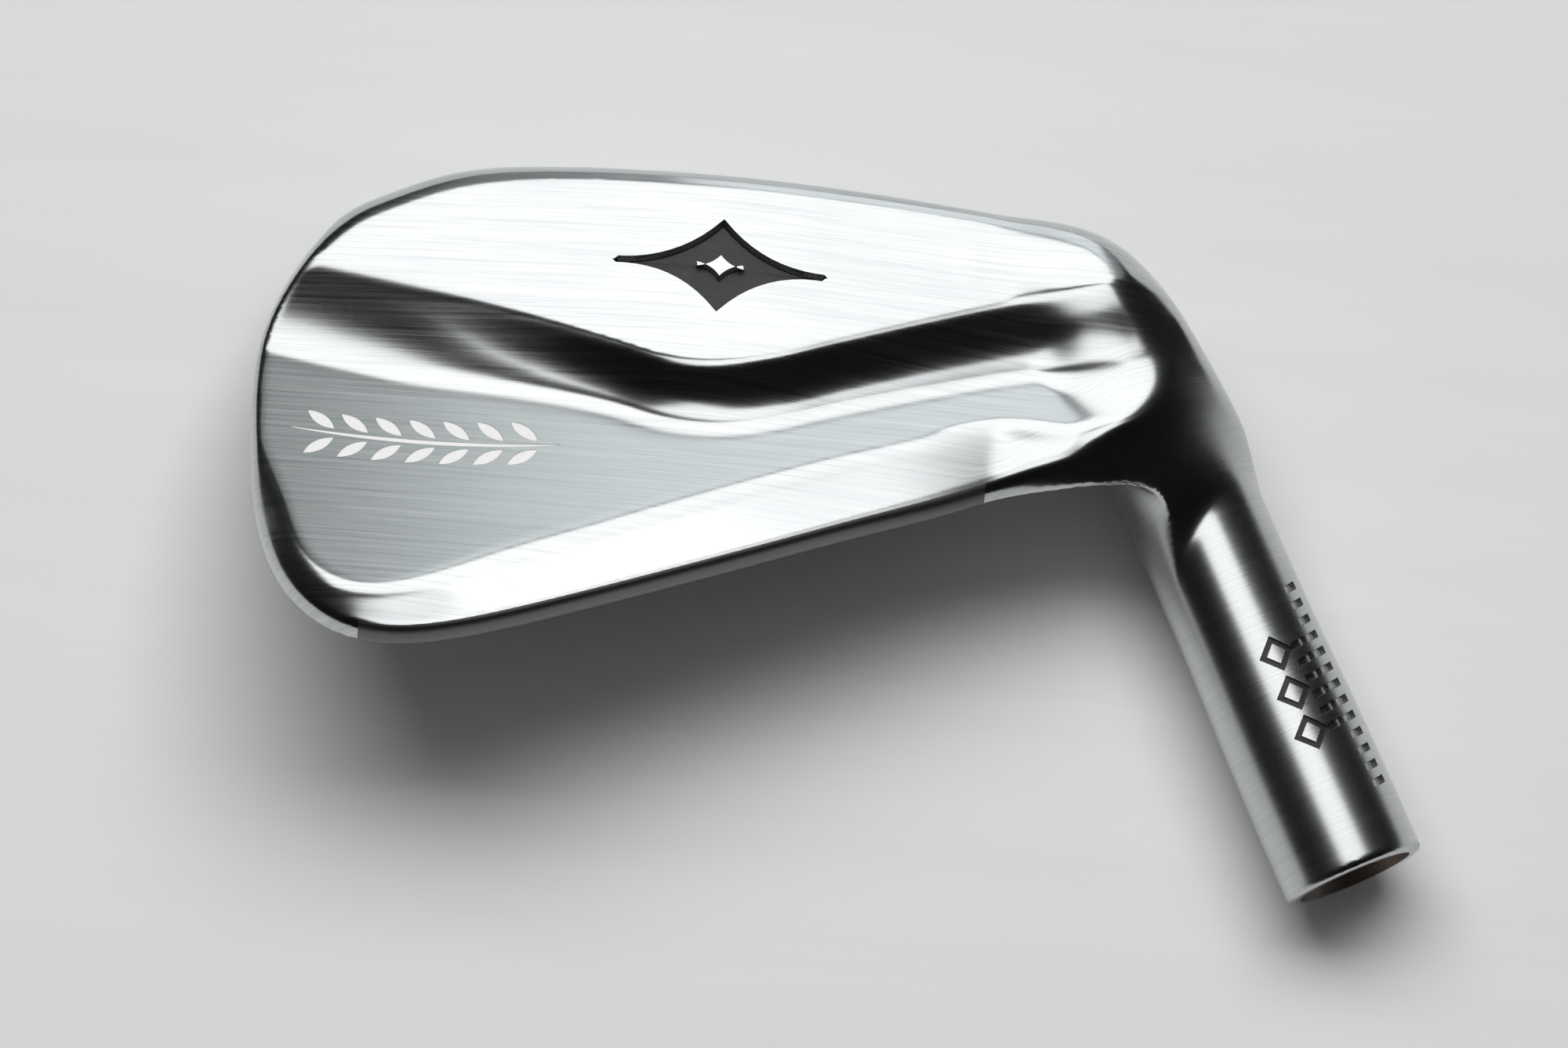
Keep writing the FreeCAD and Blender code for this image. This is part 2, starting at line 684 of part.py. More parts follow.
def make_marks():
    """The recess tools, and the paint solids by node name."""
    star_station, star_up = 32, 18
    edge = muscle_height(star_station)
    lean = (size("trailing_thickness") - size("muscle_thickness")) / (edge - TRAILING_HEIGHT)
    behind = size("muscle_thickness") + lean * (edge - star_up)
    turn = size("loft") - math.degrees(math.atan(lean))
    star = mark_frame(turn, on_face(star_station, star_up, behind))
    sprig_station, sprig_up = 57.5, 35.4
    sprig = mark_frame(size("loft"), on_face(sprig_station, sprig_up, size("blade_thickness")))
    # The hosel's marks stand about halfway up it, turned a little further to the heel side each.
    diamonds = hosel_frame(49.5, -8)
    short_row = hosel_frame(49.5, -31)
    long_row = hosel_frame(50, -50)
    number_station, number_back = 49, 5
    number = mark_frame(90, Vector(number_station, -number_back, sole_height(number_station)))
    bar_pitch = 1.65
    clear = 1

    def recess(name, frame, draw, depth):
        return mark_body(f"{name}_recess", frame, draw, -size(depth), f"dims.{depth} + {clear}")

    def paint(name, frame, draw, depth, fill):
        return mark_body(name, frame, draw, -size(depth), f"dims.{fill}")

    recesses = [
        recess("star", star, draw_star, "star_depth"),
        recess("sprig", sprig, draw_sprig, "sprig_depth"),
        recess("diamonds", diamonds, draw_diamonds, "hosel_mark_depth"),
        recess("long_row", long_row, stamp_row(13, bar_pitch), "stamp_depth"),
        recess("short_row", short_row, stamp_row(6, bar_pitch), "stamp_depth"),
        recess("number", number, draw_seven, "number_depth"),
    ]
    paints = [
        paint("star_paint", star, draw_star, "star_depth", "star_fill"),
        paint("sprig_paint", sprig, draw_sprig, "sprig_depth", "sprig_fill"),
        paint("hosel_mark_paint", diamonds, draw_diamonds, "hosel_mark_depth", "hosel_mark_fill"),
        paint("sole_number_paint", number, draw_seven, "number_depth", "number_fill"),
    ]
    return recesses, paints


def make_head():
    """The forging: blade, neck and hosel as one piece of steel, less its bore and its recesses."""
    parts = [make_blade(), make_hosel(), make_neck()]
    recesses, paints = make_marks()
    forging = document.addObject("Part::MultiFuse", "forging")
    forging.Shapes = parts
    tools = document.addObject("Part::Compound", "removed")
    tools.Links = [make_bore()] + recesses
    head = document.addObject("Part::Cut", "forged_head")
    head.Label = "forged_head"
    head.Base = forging
    head.Tool = tools
    document.recompute()
    return head, paints


head, paints = make_head()
for piece in [head] + paints:
    piece.Placement = LYING
document.recompute()
for item in document.Objects:
    check("Invalid" not in item.State and "Error" not in item.State, f"{item.Name} failed: {item.State}")
check(len(head.Shape.Solids) == 1, f"the head is {len(head.Shape.Solids)} solids")
os.makedirs("parts", exist_ok=True)
for piece in [head] + paints:
    shape = piece.Shape
    check(not shape.isNull() and shape.isValid(), f"{piece.Label} has no valid shape")
    print(piece.Label, "solids", len(shape.Solids), "volume", round(shape.Volume, 2))
    shape.exportStep(f"parts/{piece.Label}.step")
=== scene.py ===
import math

import bpy
import numpy as np
from mathutils import Matrix, Vector
from mathutils.bvhtree import BVHTree


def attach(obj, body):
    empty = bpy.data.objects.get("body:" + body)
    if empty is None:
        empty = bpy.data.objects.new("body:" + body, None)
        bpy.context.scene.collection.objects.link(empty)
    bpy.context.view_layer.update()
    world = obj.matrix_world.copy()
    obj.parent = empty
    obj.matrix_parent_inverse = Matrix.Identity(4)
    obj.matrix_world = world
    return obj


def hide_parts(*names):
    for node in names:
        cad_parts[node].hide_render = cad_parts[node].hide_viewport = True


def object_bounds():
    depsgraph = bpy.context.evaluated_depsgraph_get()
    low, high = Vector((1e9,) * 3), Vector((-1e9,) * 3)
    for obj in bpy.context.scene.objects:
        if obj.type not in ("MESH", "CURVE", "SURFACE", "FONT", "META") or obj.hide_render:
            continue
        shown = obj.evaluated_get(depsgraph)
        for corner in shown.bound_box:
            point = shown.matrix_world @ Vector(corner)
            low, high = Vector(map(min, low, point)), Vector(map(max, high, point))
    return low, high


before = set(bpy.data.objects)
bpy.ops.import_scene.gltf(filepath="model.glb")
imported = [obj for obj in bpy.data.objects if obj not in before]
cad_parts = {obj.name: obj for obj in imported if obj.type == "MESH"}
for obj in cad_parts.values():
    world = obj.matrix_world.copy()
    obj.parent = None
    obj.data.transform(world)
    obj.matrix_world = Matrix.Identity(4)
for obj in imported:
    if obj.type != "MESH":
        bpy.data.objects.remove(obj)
cad_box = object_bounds()

MM = 0.001

# The driving dimensions of the head, in millimetres and degrees, as in the CAD model.
LOFT = math.radians(30)
LIE = math.radians(62)
FACE_FORWARD = 3.8
MOUTH_RADIUS = 6.7
WAIST_RADIUS = 6.3
HOSEL_REACH = 66.7
BORE_RADIUS = 4.7
BORE_DEPTH = 31.0
SINK_RADIUS = 5.5
SINK_DEPTH = 1.4
SOLE_CAMBER = 300.0
SOLE_MIDDLE = 33.0
SOLE_LOW_POINT = 6.5
SOLE_BUMP = 75.0
TOE_CORNER = 19.0
TOE_CORNER_STATION = 56.0

# The club at address: X to the toe, Y to the target, Z up. The face's own frame has x to the toe,
# u up the face and w behind it.
UP_FACE = np.array([0, -math.sin(LOFT), math.cos(LOFT)])
BEHIND_FACE = np.array([0, -math.cos(LOFT), -math.sin(LOFT)])
LEADING_EDGE = np.array([0, FACE_FORWARD, 0])
UP_HOSEL = np.array([-math.cos(LIE), 0, math.sin(LIE)])
ACROSS_HOSEL = np.array([math.sin(LIE), 0, math.cos(LIE)])
TOEWARD = np.array([1.0, 0, 0])
TARGETWARD = np.array([0, 1.0, 0])


def club_to_table():
    """The turn and shift that lay the club from its address pose to its place in the frame."""
    face_down = Matrix(((-1, 0, 0), (0, 0, -1), (0, -1, 0)))
    toe_z = SOLE_CAMBER - math.sqrt(SOLE_CAMBER**2 - (TOE_CORNER_STATION - SOLE_MIDDLE) ** 2)
    toe_y = FACE_FORWARD - toe_z * math.tan(LOFT)
    arm = np.dot([TOE_CORNER_STATION, 0, toe_z], ACROSS_HOSEL)
    tilt = math.asin((MOUTH_RADIUS - toe_y) / arm)
    turn = np.array(face_down @ Matrix.Rotation(tilt, 3, Vector(UP_HOSEL)))
    bore_start = UP_HOSEL * (HOSEL_REACH - SINK_DEPTH)
    return turn, -turn @ bore_start


TURN, SHIFT = club_to_table()


def on_table(points):
    """Points of the club at address, in millimetres, as points of the frame, in metres."""
    return (np.asarray(points) @ TURN.T + SHIFT) * MM


# The head's surface is where a distance field is zero, in millimetres: negative inside the metal.

def smooth_max(first, second, radius):
    """The larger of two distances, with the edge where they meet rounded off."""
    share = np.clip(0.5 + 0.5 * (first - second) / radius, 0, 1)
    return second + (first - second) * share + radius * share * (1 - share)


def smooth_min(first, second, radius):
    """The smaller of two distances, with the corner where they meet filled in."""
    return -smooth_max(-first, -second, radius)


def smooth_share(value, none, full):
    """0 up to none, 1 from full on and a smooth way between. none may be above full."""
    share = np.clip((value - none) / (full - none), 0, 1)
    return share * share * (3 - 2 * share)


def smooth_loop(points, spans=30):
    """A closed curve with smooth curvature through the points, as a fine polygon."""
    points = np.asarray(points, float)
    count = len(points)
    same = np.eye(count)
    weights = (4 * same + np.roll(same, 1, axis=0) + np.roll(same, -1, axis=0)) / 6
    poles = np.linalg.solve(weights, points)
    share = (np.arange(spans) / spans)[None, :, None]
    before, here = np.roll(poles, 1, axis=0)[:, None], poles[:, None]
    after, beyond = np.roll(poles, -1, axis=0)[:, None], np.roll(poles, -2, axis=0)[:, None]
    curve = (
        before * (1 - share) ** 3
        + here * (3 * share**3 - 6 * share**2 + 4)
        + after * (-3 * share**3 + 3 * share**2 + 3 * share + 1)
        + beyond * share**3
    ) / 6
    return curve.reshape(-1, 2)


FAR_AWAY = 1e9
# A search that steps by distance over slope takes the slope to be at least this.
LEAST_SLOPE = 0.3


def distance_to_loop(first, second, loop):
    """Signed distance of points in a plane from a closed polygon, negative inside it."""
    nearest = np.full(np.broadcast(first, second).shape, FAR_AWAY)
    inside = np.zeros(nearest.shape, bool)
    for start, end in zip(loop, np.roll(loop, -1, axis=0)):
        run, rise = end - start
        share = ((first - start[0]) * run + (second - start[1]) * rise) / (run**2 + rise**2)
        share = np.clip(share, 0, 1)
        gap = (first - start[0] - share * run) ** 2 + (second - start[1] - share * rise) ** 2
        nearest = np.minimum(nearest, gap)
        crosses = (start[1] > second) != (end[1] > second)
        if rise != 0:
            inside ^= crosses & (first < start[0] + (second - start[1]) * run / rise)
    return np.where(inside, -1, 1) * np.sqrt(nearest)


# The blade seen square to its face: topline from heel to toe, the toe, below the sole, and the nose
# where the back ends against the neck.
BLADE_OUTLINE = (
    (2, 32.1), (9, 35.9), (17, 39.6), (25, 43.4), (33, 47.2), (41, 50.9), (48, 54),
    (54, 56.2), (59.5, 57.1), (64.5, 55.9), (68.4, 52.6), (71, 47.8), (72.7, 41.5), (73.6, 34.5),
    (73.9, 27.5), (72.9, 19.6), (70.2, 11.2), (64.3, 2.7), (54, -4), (43, -8), (31, -9),
    (19, -8), (9, -5), (3.4, 1.4), (-0.8, 8), (-4.4, 14), (-8.9, 20), (-7, 25.6),
    (-2.6, 29.6),
)

# The heel under the neck seen from behind, down to where the cambered sole begins.
HEEL_OUTLINE = (
    (-58, 75), (-42, 55), (-30.7, 37), (-24.2, 27.3), (-19.6, 20.8), (-15.6, 15.2),
    (-12, 10.1), (-8.4, 5.7), (-4.4, 2.8), (0.5, 1.4),
)

# Stations along the sole's camber, the turns in degrees round the toe's lower corner, and the points
# that close an outline far above.
SOLE_STATIONS = (7, 15, 24, 33, 42, 50, TOE_CORNER_STATION)
TOE_TURNS = (25, 45, 65, 85)
CLOSED_ABOVE = ((78, 50), (70, 75), (20, 95), (-35, 92))

# The blade's lower edge seen from behind and a little above, along the heel, the sole and the toe,
# and closed far above.
ROUNDED_EDGE = (
    (-58, 75), (-30, 39), (-18.9, 23.3), (-12.6, 12.7), (-9.6, 8.2), (-6.2, 5),
    (-2.9, 2.6), (1.2, 0.7), (5.5, -0.5), (13.7, -1.2), (26.8, -1.8), (38, -1.8), (46, -1.5),
    (53.5, -0.6), (59, 0.9), (63.5, 2.9), (66.6, 4.7), (69.6, 7.7), (72.6, 12.2), (75.4, 19.3),
    (76.8, 30), *CLOSED_ABOVE,
)
VIEW_FROM_ABOVE = math.radians(10.5)


def sole_curve():
    """Points of the sole from heel to toe: its camber, then the toe's round lower corner."""
    points = []
    for station in SOLE_STATIONS:
        points.append((station, (station - SOLE_MIDDLE) ** 2 / (2 * SOLE_CAMBER)))
    start = points[-1][1]
    for turn in TOE_TURNS:
        angle = math.radians(turn)
        further = TOE_CORNER * math.sin(angle)
        higher = TOE_CORNER * (1 - math.cos(angle))
        points.append((TOE_CORNER_STATION + further, start + higher))
    return points + [(76.5, 30), *CLOSED_ABOVE]


# How the back is shaped along the club, as (station, value) pairs from heel to toe.
MUSCLE_EDGE = ((-10, 13), (4, 17), (13, 20.6), (20, 23.6), (26, 26.2), (31, 27.6), (36, 27.6),
               (41, 26.2), (48, 24.2), (58, 21.6), (66, 19.7), (76, 17.5))
SLOPE_LEAN = ((-10, 0.93), (10, 1), (25, 1.1), (41, 1.12), (49, 0.86), (58, 0.65), (66, 0.6), (80, 0.6))
MUSCLE_THICKNESS = ((-10, 9.3), (10, 9.2), (35, 9.1), (50, 9), (62, 8.7), (72, 8.3), (80, 8))
MUSCLE_LEAN = ((-10, 0.3), (35, 0.3), (50, 0.3), (62, 0.28), (74, 0.26))
BEVEL_LEAN = ((-10, 0.42), (40, 0.42), (52, 0.42), (60, 0.52), (66, 0.7), (80, 0.75))


def along(station, pairs):
    """A smooth curve through (station, value) pairs."""
    stations, values = np.array(pairs, float).T
    slopes = np.gradient(values, stations)
    index = np.clip(np.searchsorted(stations, station) - 1, 0, len(stations) - 2)
    width = stations[index + 1] - stations[index]
    share = np.clip((station - stations[index]) / width, 0, 1)
    first, second = values[index], values[index + 1]
    lean_first, lean_second = slopes[index] * width, slopes[index + 1] * width
    cubic = 2 * (first - second) + lean_first + lean_second
    square = 3 * (second - first) - 2 * lean_first - lean_second
    return first + share * (lean_first + share * (square + share * cubic))


# The plate above the muscle, the band below it, and the radii where the back's surfaces meet.
PLATE_THICKNESS = 4.9
PLATE_MIDDLE_STATION = 33
PLATE_MIDDLE_HEIGHT = 30
PLATE_LEAN = 0.02
PLATE_BOW = 1800
BAND_REACH = 1.6
BAND_LEAN = 0.3
BAND_ROUNDING = 0.5
MUSCLE_ROUNDING = 0.35
FOOT_ROUNDING = 1.1

# The bevel that thins the topline and the toe. Widths are measured at the outline.
TOPLINE_WIDTH = 2.2
TOE_WIDTH = 4.3
NECK_EXTRA_WIDTH = 1.3
BEVEL_ROUNDING = 0.5
NECK_EXTRA_ROUNDING = 1.6
BEVEL_FOOT = 30
FOOT_EASE = 6
BEVEL_DEPTH = 7
DEPTH_RISE = 0.08

# Stations or heights at which a share is none, then full.
SHORT_OF_TOE = (69, 53)
TOE_BEVEL = (61, 68)
STEEP_BEVEL = (31, 22)
WIDE_BEVEL = (46, 31)
NECK_WIDENING = (6, -3)
NECK_SOFTENING = (14, 0)


def back_thickness(x, u, edge_distance):
    """How far the back is behind the face. edge_distance is the distance in from the outline."""
    edge = along(x, MUSCLE_EDGE)
    muscle = along(x, MUSCLE_THICKNESS)
    bow = (x - PLATE_MIDDLE_STATION) ** 2 / PLATE_BOW
    plate = PLATE_THICKNESS - PLATE_LEAN * (u - PLATE_MIDDLE_HEIGHT) - bow
    muscle_top = muscle + along(x, MUSCLE_LEAN) * (edge - u)
    slope = muscle + along(x, SLOPE_LEAN) * (edge - u)
    # Between the slope and the plate runs a narrow shallow band, leaning about as much as the muscle.
    foot = edge + (muscle - plate) / along(x, SLOPE_LEAN) + BAND_REACH
    band = plate + BAND_LEAN * (foot - u)
    back = smooth_max(plate, band, BAND_ROUNDING)
    back = smooth_max(back, smooth_min(slope, muscle_top, MUSCLE_ROUNDING), FOOT_ROUNDING)
    # Only the topline and the toe are bevelled. Towards the sole and far in from the outline the
    # bevel rises clear of the back.
    low = np.maximum(BEVEL_FOOT - u, 0) ** 2 / FOOT_EASE * smooth_share(x, *SHORT_OF_TOE)
    deep = DEPTH_RISE * np.maximum(edge_distance - BEVEL_DEPTH, 0) ** 2
    # Down the toe the bevel gets wider, then steep, so that the flat back runs almost to the edge.
    at_toe = smooth_share(x, *TOE_BEVEL)
    steep = smooth_share(u, *STEEP_BEVEL) * at_toe
    width = TOPLINE_WIDTH + (TOE_WIDTH - TOPLINE_WIDTH) * smooth_share(u, *WIDE_BEVEL) * at_toe
    width = width + NECK_EXTRA_WIDTH * smooth_share(x, *NECK_WIDENING)
    bevel = width + (along(x, BEVEL_LEAN) + steep) * edge_distance + low + deep
    rounding = BEVEL_ROUNDING + NECK_EXTRA_ROUNDING * smooth_share(x, *NECK_SOFTENING)
    return smooth_min(back, bevel, rounding)


# The round bar that bends from the hosel's axis into the heel end of the sole: where its middle
# line starts, the point that draws it aside, and where it ends.
ELBOW = (UP_HOSEL * 31, UP_HOSEL * 4.5 + np.array([0, -3.0, 0]), np.array([9.0, -5.6, 8.2]))
ELBOW_SEARCH = 14


def elbow_distance(x, y, z):
    """Distance from the elbow's surface, exact near it and rough far from it."""
    start, bend, end = ELBOW
    points = np.stack([x.ravel(), y.ravel(), z.ravel()], -1)

    def on_path(share):
        share = np.asarray(share)[..., None]
        return start * (1 - share) ** 2 + bend * 2 * share * (1 - share) + end * share**2

    nearest = np.full(len(points), FAR_AWAY)
    best = np.zeros(len(points))
    for share in np.linspace(0, 1, 7):
        gap = ((points - on_path(share)) ** 2).sum(1)
        closer = gap < nearest
        nearest[closer] = gap[closer]
        best[closer] = share
    near = nearest < ELBOW_SEARCH**2
    points, share = points[near], best[near]
    for _ in range(5):
        offset = on_path(share) - points
        run = 2 * ((bend - start) * (1 - share)[:, None] + (end - bend) * share[:, None])
        turn = 2 * (end - 2 * bend + start)
        slope = (run**2).sum(1) + (offset * turn).sum(1)
        slope = np.maximum(slope, (run**2).sum(1) * LEAST_SLOPE)
        share = np.clip(share - (offset * run).sum(1) / slope, 0, 1)
    distance = np.sqrt(nearest)
    distance[near] = np.sqrt(((on_path(share) - points) ** 2).sum(1))
    return (distance - WAIST_RADIUS).reshape(x.shape)


# The walls lean in a little towards the back, as a forging leaves its die.
DRAFT = math.radians(3)
CRISP_ROUNDING = 0.5
LOWER_EXTRA_ROUNDING = 0.4
BELOW_TOPLINE = (42, 34)
FACE_ROUNDING = 0.5
LOWER_EDGE_ROUNDING = 1.8
MOUTH_ROUNDING = 0.5
SOLE_ROUNDING = 1.3

# Towards the neck the wall opens into a wide slope. Its lean is in degrees at the sole, and is less
# by the topline, where it also falls away faster.
NOSE_LEAN = 54
NOSE_LEAN_LOSS = 19
NOSE_LEAN_HEIGHTS = (18, 26)
NOSE_BEND = 0.05
NOSE_BEND_GAIN = 0.11
NOSE_BEND_HEIGHTS = (16, 24)
NOSE_BEND_START = 1.5
NOSE_REACH = 1.0
NOSE_STATIONS = (8, 0)
NOSE_HEIGHTS = (36, 31)
NOSE_ROUNDING = 1.5
NOSE_END_ROUNDING = 10.0
# The slope is no wider than the neck it runs down to.
NECK_MIDDLE = 0.9
NECK_HALF_WIDTH = 5.1

HOSEL_RADIUS = (
    (28, WAIST_RADIUS), (34, WAIST_RADIUS), (42, 6.35), (52, 6.6), (60, MOUTH_RADIUS),
    (70, MOUTH_RADIUS),
)
STRAIGHT_REACH = (22, 31)
NECK_BLEND = 1.5
NECK_BLEND_GAIN = 9.0
NECK_BLEND_STATIONS = (8, -6)


def opened_wall(x, u, w, outline, back):
    """Distance from the slope that the blade's wall opens into beside the neck."""
    lean = np.radians(NOSE_LEAN - NOSE_LEAN_LOSS * smooth_share(u, *NOSE_LEAN_HEIGHTS))
    bend = NOSE_BEND + NOSE_BEND_GAIN * smooth_share(u, *NOSE_BEND_HEIGHTS)
    lean, bend = lean[None, :, None], bend[None, :, None]
    further = bend * np.maximum(outline - NOSE_BEND_START, 0) ** 2
    slope = (outline + further + (w - back) * np.tan(lean)) * np.cos(lean)
    height = u[None, :, None] * UP_FACE[2] + w * BEHIND_FACE[2]
    beside_hosel = x[:, None, None] * UP_HOSEL[2] - height * UP_HOSEL[0]
    wall = blade_wall(outline, w) - NOSE_REACH
    ends = smooth_min(wall, np.abs(beside_hosel - NECK_MIDDLE) - NECK_HALF_WIDTH, NOSE_END_ROUNDING)
    return smooth_max(slope, ends, NOSE_ROUNDING)


def blade_wall(outline, w):
    """Distance from the wall that runs round the blade's outline from the face to the back."""
    return (outline + math.tan(DRAFT) * w) * math.cos(DRAFT)


def blade_field(x, u, w):
    """The distance field of the blade before its lower edge is rounded."""
    grid_x, grid_u = x[:, None], u[None, :]
    outline = distance_to_loop(grid_x, grid_u, smooth_loop(BLADE_OUTLINE))
    back = back_thickness(grid_x, grid_u, -outline)
    lean_x, lean_u = np.gradient(back, x[1] - x[0], u[1] - u[0])
    steep = np.sqrt(1 + lean_x**2 + lean_u**2)
    w = w[None, None, :]
    outline, back, steep = outline[:, :, None], back[:, :, None], steep[:, :, None]
    wall = blade_wall(outline, w)
    nose = smooth_share(x, *NOSE_STATIONS)[:, None] * smooth_share(u, *NOSE_HEIGHTS)[None, :]
    wall = wall + (opened_wall(x, u, w, outline, back) - wall) * nose[:, :, None]
    extra = LOWER_EXTRA_ROUNDING * smooth_share(u, *BELOW_TOPLINE)[None, :, None]
    blade = smooth_max((w - back) / steep, wall, CRISP_ROUNDING + extra)
    return smooth_max(blade, np.broadcast_to(-w, blade.shape), FACE_ROUNDING)


def head_field(x, u, w):
    """The distance field over a grid in the face's frame. x, u and w are its three rulings."""
    blade = blade_field(x, u, w)
    grid_x, grid_u = x[:, None, None], u[None, :, None]
    club_x = np.broadcast_to(grid_x, blade.shape)
    club_y = np.broadcast_to(FACE_FORWARD + grid_u * UP_FACE[1] + w * BEHIND_FACE[1], blade.shape)
    club_z = np.broadcast_to(grid_u * UP_FACE[2] + w * BEHIND_FACE[2], blade.shape)

    seen_height = club_y * math.sin(VIEW_FROM_ABOVE) + club_z * math.cos(VIEW_FROM_ABOVE)
    rounded = loop_field(club_x, seen_height, ROUNDED_EDGE)
    blade = smooth_max(blade, rounded, LOWER_EDGE_ROUNDING)

    reach = club_x * UP_HOSEL[0] + club_z * UP_HOSEL[2]
    across = club_x * UP_HOSEL[2] - club_z * UP_HOSEL[0]
    hosel = np.hypot(across, club_y) - along(reach, HOSEL_RADIUS)
    elbow = elbow_distance(club_x, club_y, club_z)
    straight = smooth_share(reach, *STRAIGHT_REACH)
    neck = hosel * straight + elbow * (1 - straight)
    blend = NECK_BLEND + NECK_BLEND_GAIN * smooth_share(club_x, *NECK_BLEND_STATIONS)
    body = smooth_min(blade, neck, blend)
    body = smooth_max(body, reach - HOSEL_REACH, MOUTH_ROUNDING)
    height = club_z - (club_y + SOLE_LOW_POINT) ** 2 / (2 * SOLE_BUMP)
    sole = loop_field(club_x, height, list(HEEL_OUTLINE) + sole_curve())
    return smooth_max(body, sole, SOLE_ROUNDING)


# The ground that every loop's fine grid covers.
LOOP_STEP = 0.5
LOOP_ACROSS = (-60, 86)
LOOP_UP = (-20, 100)


def loop_field(first, second, points):
    """Signed distance from a smooth loop, read from a fine grid of it."""
    ruling_first = np.arange(*LOOP_ACROSS, LOOP_STEP)
    ruling_second = np.arange(*LOOP_UP, LOOP_STEP)
    flat = distance_to_loop(ruling_first[:, None], ruling_second[None, :], smooth_loop(points))
    place_first = (first - ruling_first[0]) / LOOP_STEP
    place_second = (second - ruling_second[0]) / LOOP_STEP
    i = np.clip(place_first.astype(int), 0, len(ruling_first) - 2)
    j = np.clip(place_second.astype(int), 0, len(ruling_second) - 2)
    share_first, share_second = place_first - i, place_second - j
    low = flat[i, j] * (1 - share_first) + flat[i + 1, j] * share_first
    high = flat[i, j + 1] * (1 - share_first) + flat[i + 1, j + 1] * share_first
    return low * (1 - share_second) + high * share_second


# The corners of a grid's cell.
CORNERS = [(i, j, k) for i in (0, 1) for j in (0, 1) for k in (0, 1)]


def surface_net(field, x, u, w):
    """A quad mesh of the field's zero surface: one corner in each cell that it crosses."""
    inside = field < 0
    count = np.zeros(tuple(n - 1 for n in field.shape), int)
    place = np.zeros(count.shape + (3,))
    crossings = np.zeros(count.shape)

    def corner_slice(shift):
        return tuple(slice(s, s + n) for s, n in zip(shift, count.shape))

    for axis in range(3):
        for start in CORNERS:
            if start[axis]:
                continue
            end = tuple(s + (1 if i == axis else 0) for i, s in enumerate(start))
            low, high = field[corner_slice(start)], field[corner_slice(end)]
            crosses = (low < 0) != (high < 0)
            share = np.where(crosses, low / np.where(crosses, low - high, 1), 0)
            for i in range(3):
                place[..., i] += np.where(crosses, start[i] + (share if i == axis else 0), 0)
            crossings += crosses
    cells = crossings > 0
    number = np.full(count.shape, -1)
    number[cells] = np.arange(cells.sum())
    index = np.argwhere(cells)
    points = index + place[cells] / crossings[cells][:, None]
    faces = []
    for axis in range(3):
        a, b = [i for i in range(3) if i != axis]
        low = [slice(1, -1)] * 3
        high = [slice(1, -1)] * 3
        low[axis], high[axis] = slice(0, -1), slice(1, None)
        first, second = inside[tuple(low)], inside[tuple(high)]
        found = np.argwhere(first != second)
        shift = np.ones(3, int)
        shift[axis] = 0
        found = found + shift
        outward = first[first != second]
        quads = []
        for da, db in ((0, 0), (1, 0), (1, 1), (0, 1)):
            cell = found.copy()
            cell[:, a] -= da
            cell[:, b] -= db
            quads.append(number[cell[:, 0], cell[:, 1], cell[:, 2]])
        quads = np.stack(quads, 1)
        flip = outward if axis != 1 else ~outward
        quads[~flip] = quads[~flip][:, ::-1]
        faces.append(quads)
    steps = np.array([x[1] - x[0], u[1] - u[0], w[1] - w[0]])
    return points * steps + [x[0], u[0], w[0]], np.vstack(faces)


def sample(field, points, x, u, w):
    """The field's value and its gradient at points, from the grid around each."""
    step = x[1] - x[0]
    place = (points - [x[0], u[0], w[0]]) / step
    low = np.clip(place.astype(int), 0, np.array(field.shape) - 2)
    share = place - low
    value = np.zeros(len(points))
    gradient = np.zeros((len(points), 3))
    for i, j, k in CORNERS:
        corner = field[low[:, 0] + i, low[:, 1] + j, low[:, 2] + k]
        part = [share[:, n] if c else 1 - share[:, n] for n, c in enumerate((i, j, k))]
        sign = [1 if c else -1 for c in (i, j, k)]
        value += corner * part[0] * part[1] * part[2]
        gradient[:, 0] += corner * sign[0] * part[1] * part[2]
        gradient[:, 1] += corner * part[0] * sign[1] * part[2]
        gradient[:, 2] += corner * part[0] * part[1] * sign[2]
    return value, gradient / step


# The head's mesh, with its bore and its marks cut into it.
CELL = 0.42
HEAD_SPAN = ((-42, 78), (-6, 81), (-44, 24))
SETTLING_ROUNDS = 4
# The head's materials, by number.
STEEL, BARE_STEEL, RECESS = 0, 1, 2


def face_place(points):
    """Points of the club at address as x, u, w in the face's frame."""
    offset = np.asarray(points) - LEADING_EDGE
    return np.stack([offset[..., 0], offset @ UP_FACE, offset @ BEHIND_FACE], -1)


def club_place(points):
    """Points of the face's frame as points of the club at address."""
    points = np.asarray(points)
    along_face = LEADING_EDGE + points[..., :1] * TOEWARD + points[..., 1:2] * UP_FACE
    return along_face + points[..., 2:] * BEHIND_FACE


def head_surface():
    """The head's corners and faces in the face's frame, and a function for its normals there."""
    x, u, w = [np.arange(low, high, CELL) for low, high in HEAD_SPAN]
    field = head_field(x, u, w)
    points, faces = surface_net(field, x, u, w)
    for _ in range(SETTLING_ROUNDS):
        value, gradient = sample(field, points, x, u, w)
        points = points - (value / np.maximum((gradient**2).sum(1), LEAST_SLOPE))[:, None] * gradient
    slopes = [slope.astype(np.float32) for slope in np.gradient(field, CELL)]

    def normals(places):
        normal = np.stack([sample(slope, places, x, u, w)[0] for slope in slopes], -1)
        return normal / np.linalg.norm(normal, axis=1)[:, None]

    return points, faces, normals


def mesh_object(name, points, faces):
    """A mesh object from corner points and faces."""
    mesh = bpy.data.meshes.new(name)
    corners = [tuple(point) for point in points]
    mesh.from_pydata(corners, [], [tuple(int(i) for i in face) for face in faces])
    mesh.update()
    thing = bpy.data.objects.new(name, mesh)
    bpy.context.scene.collection.objects.link(thing)
    return thing


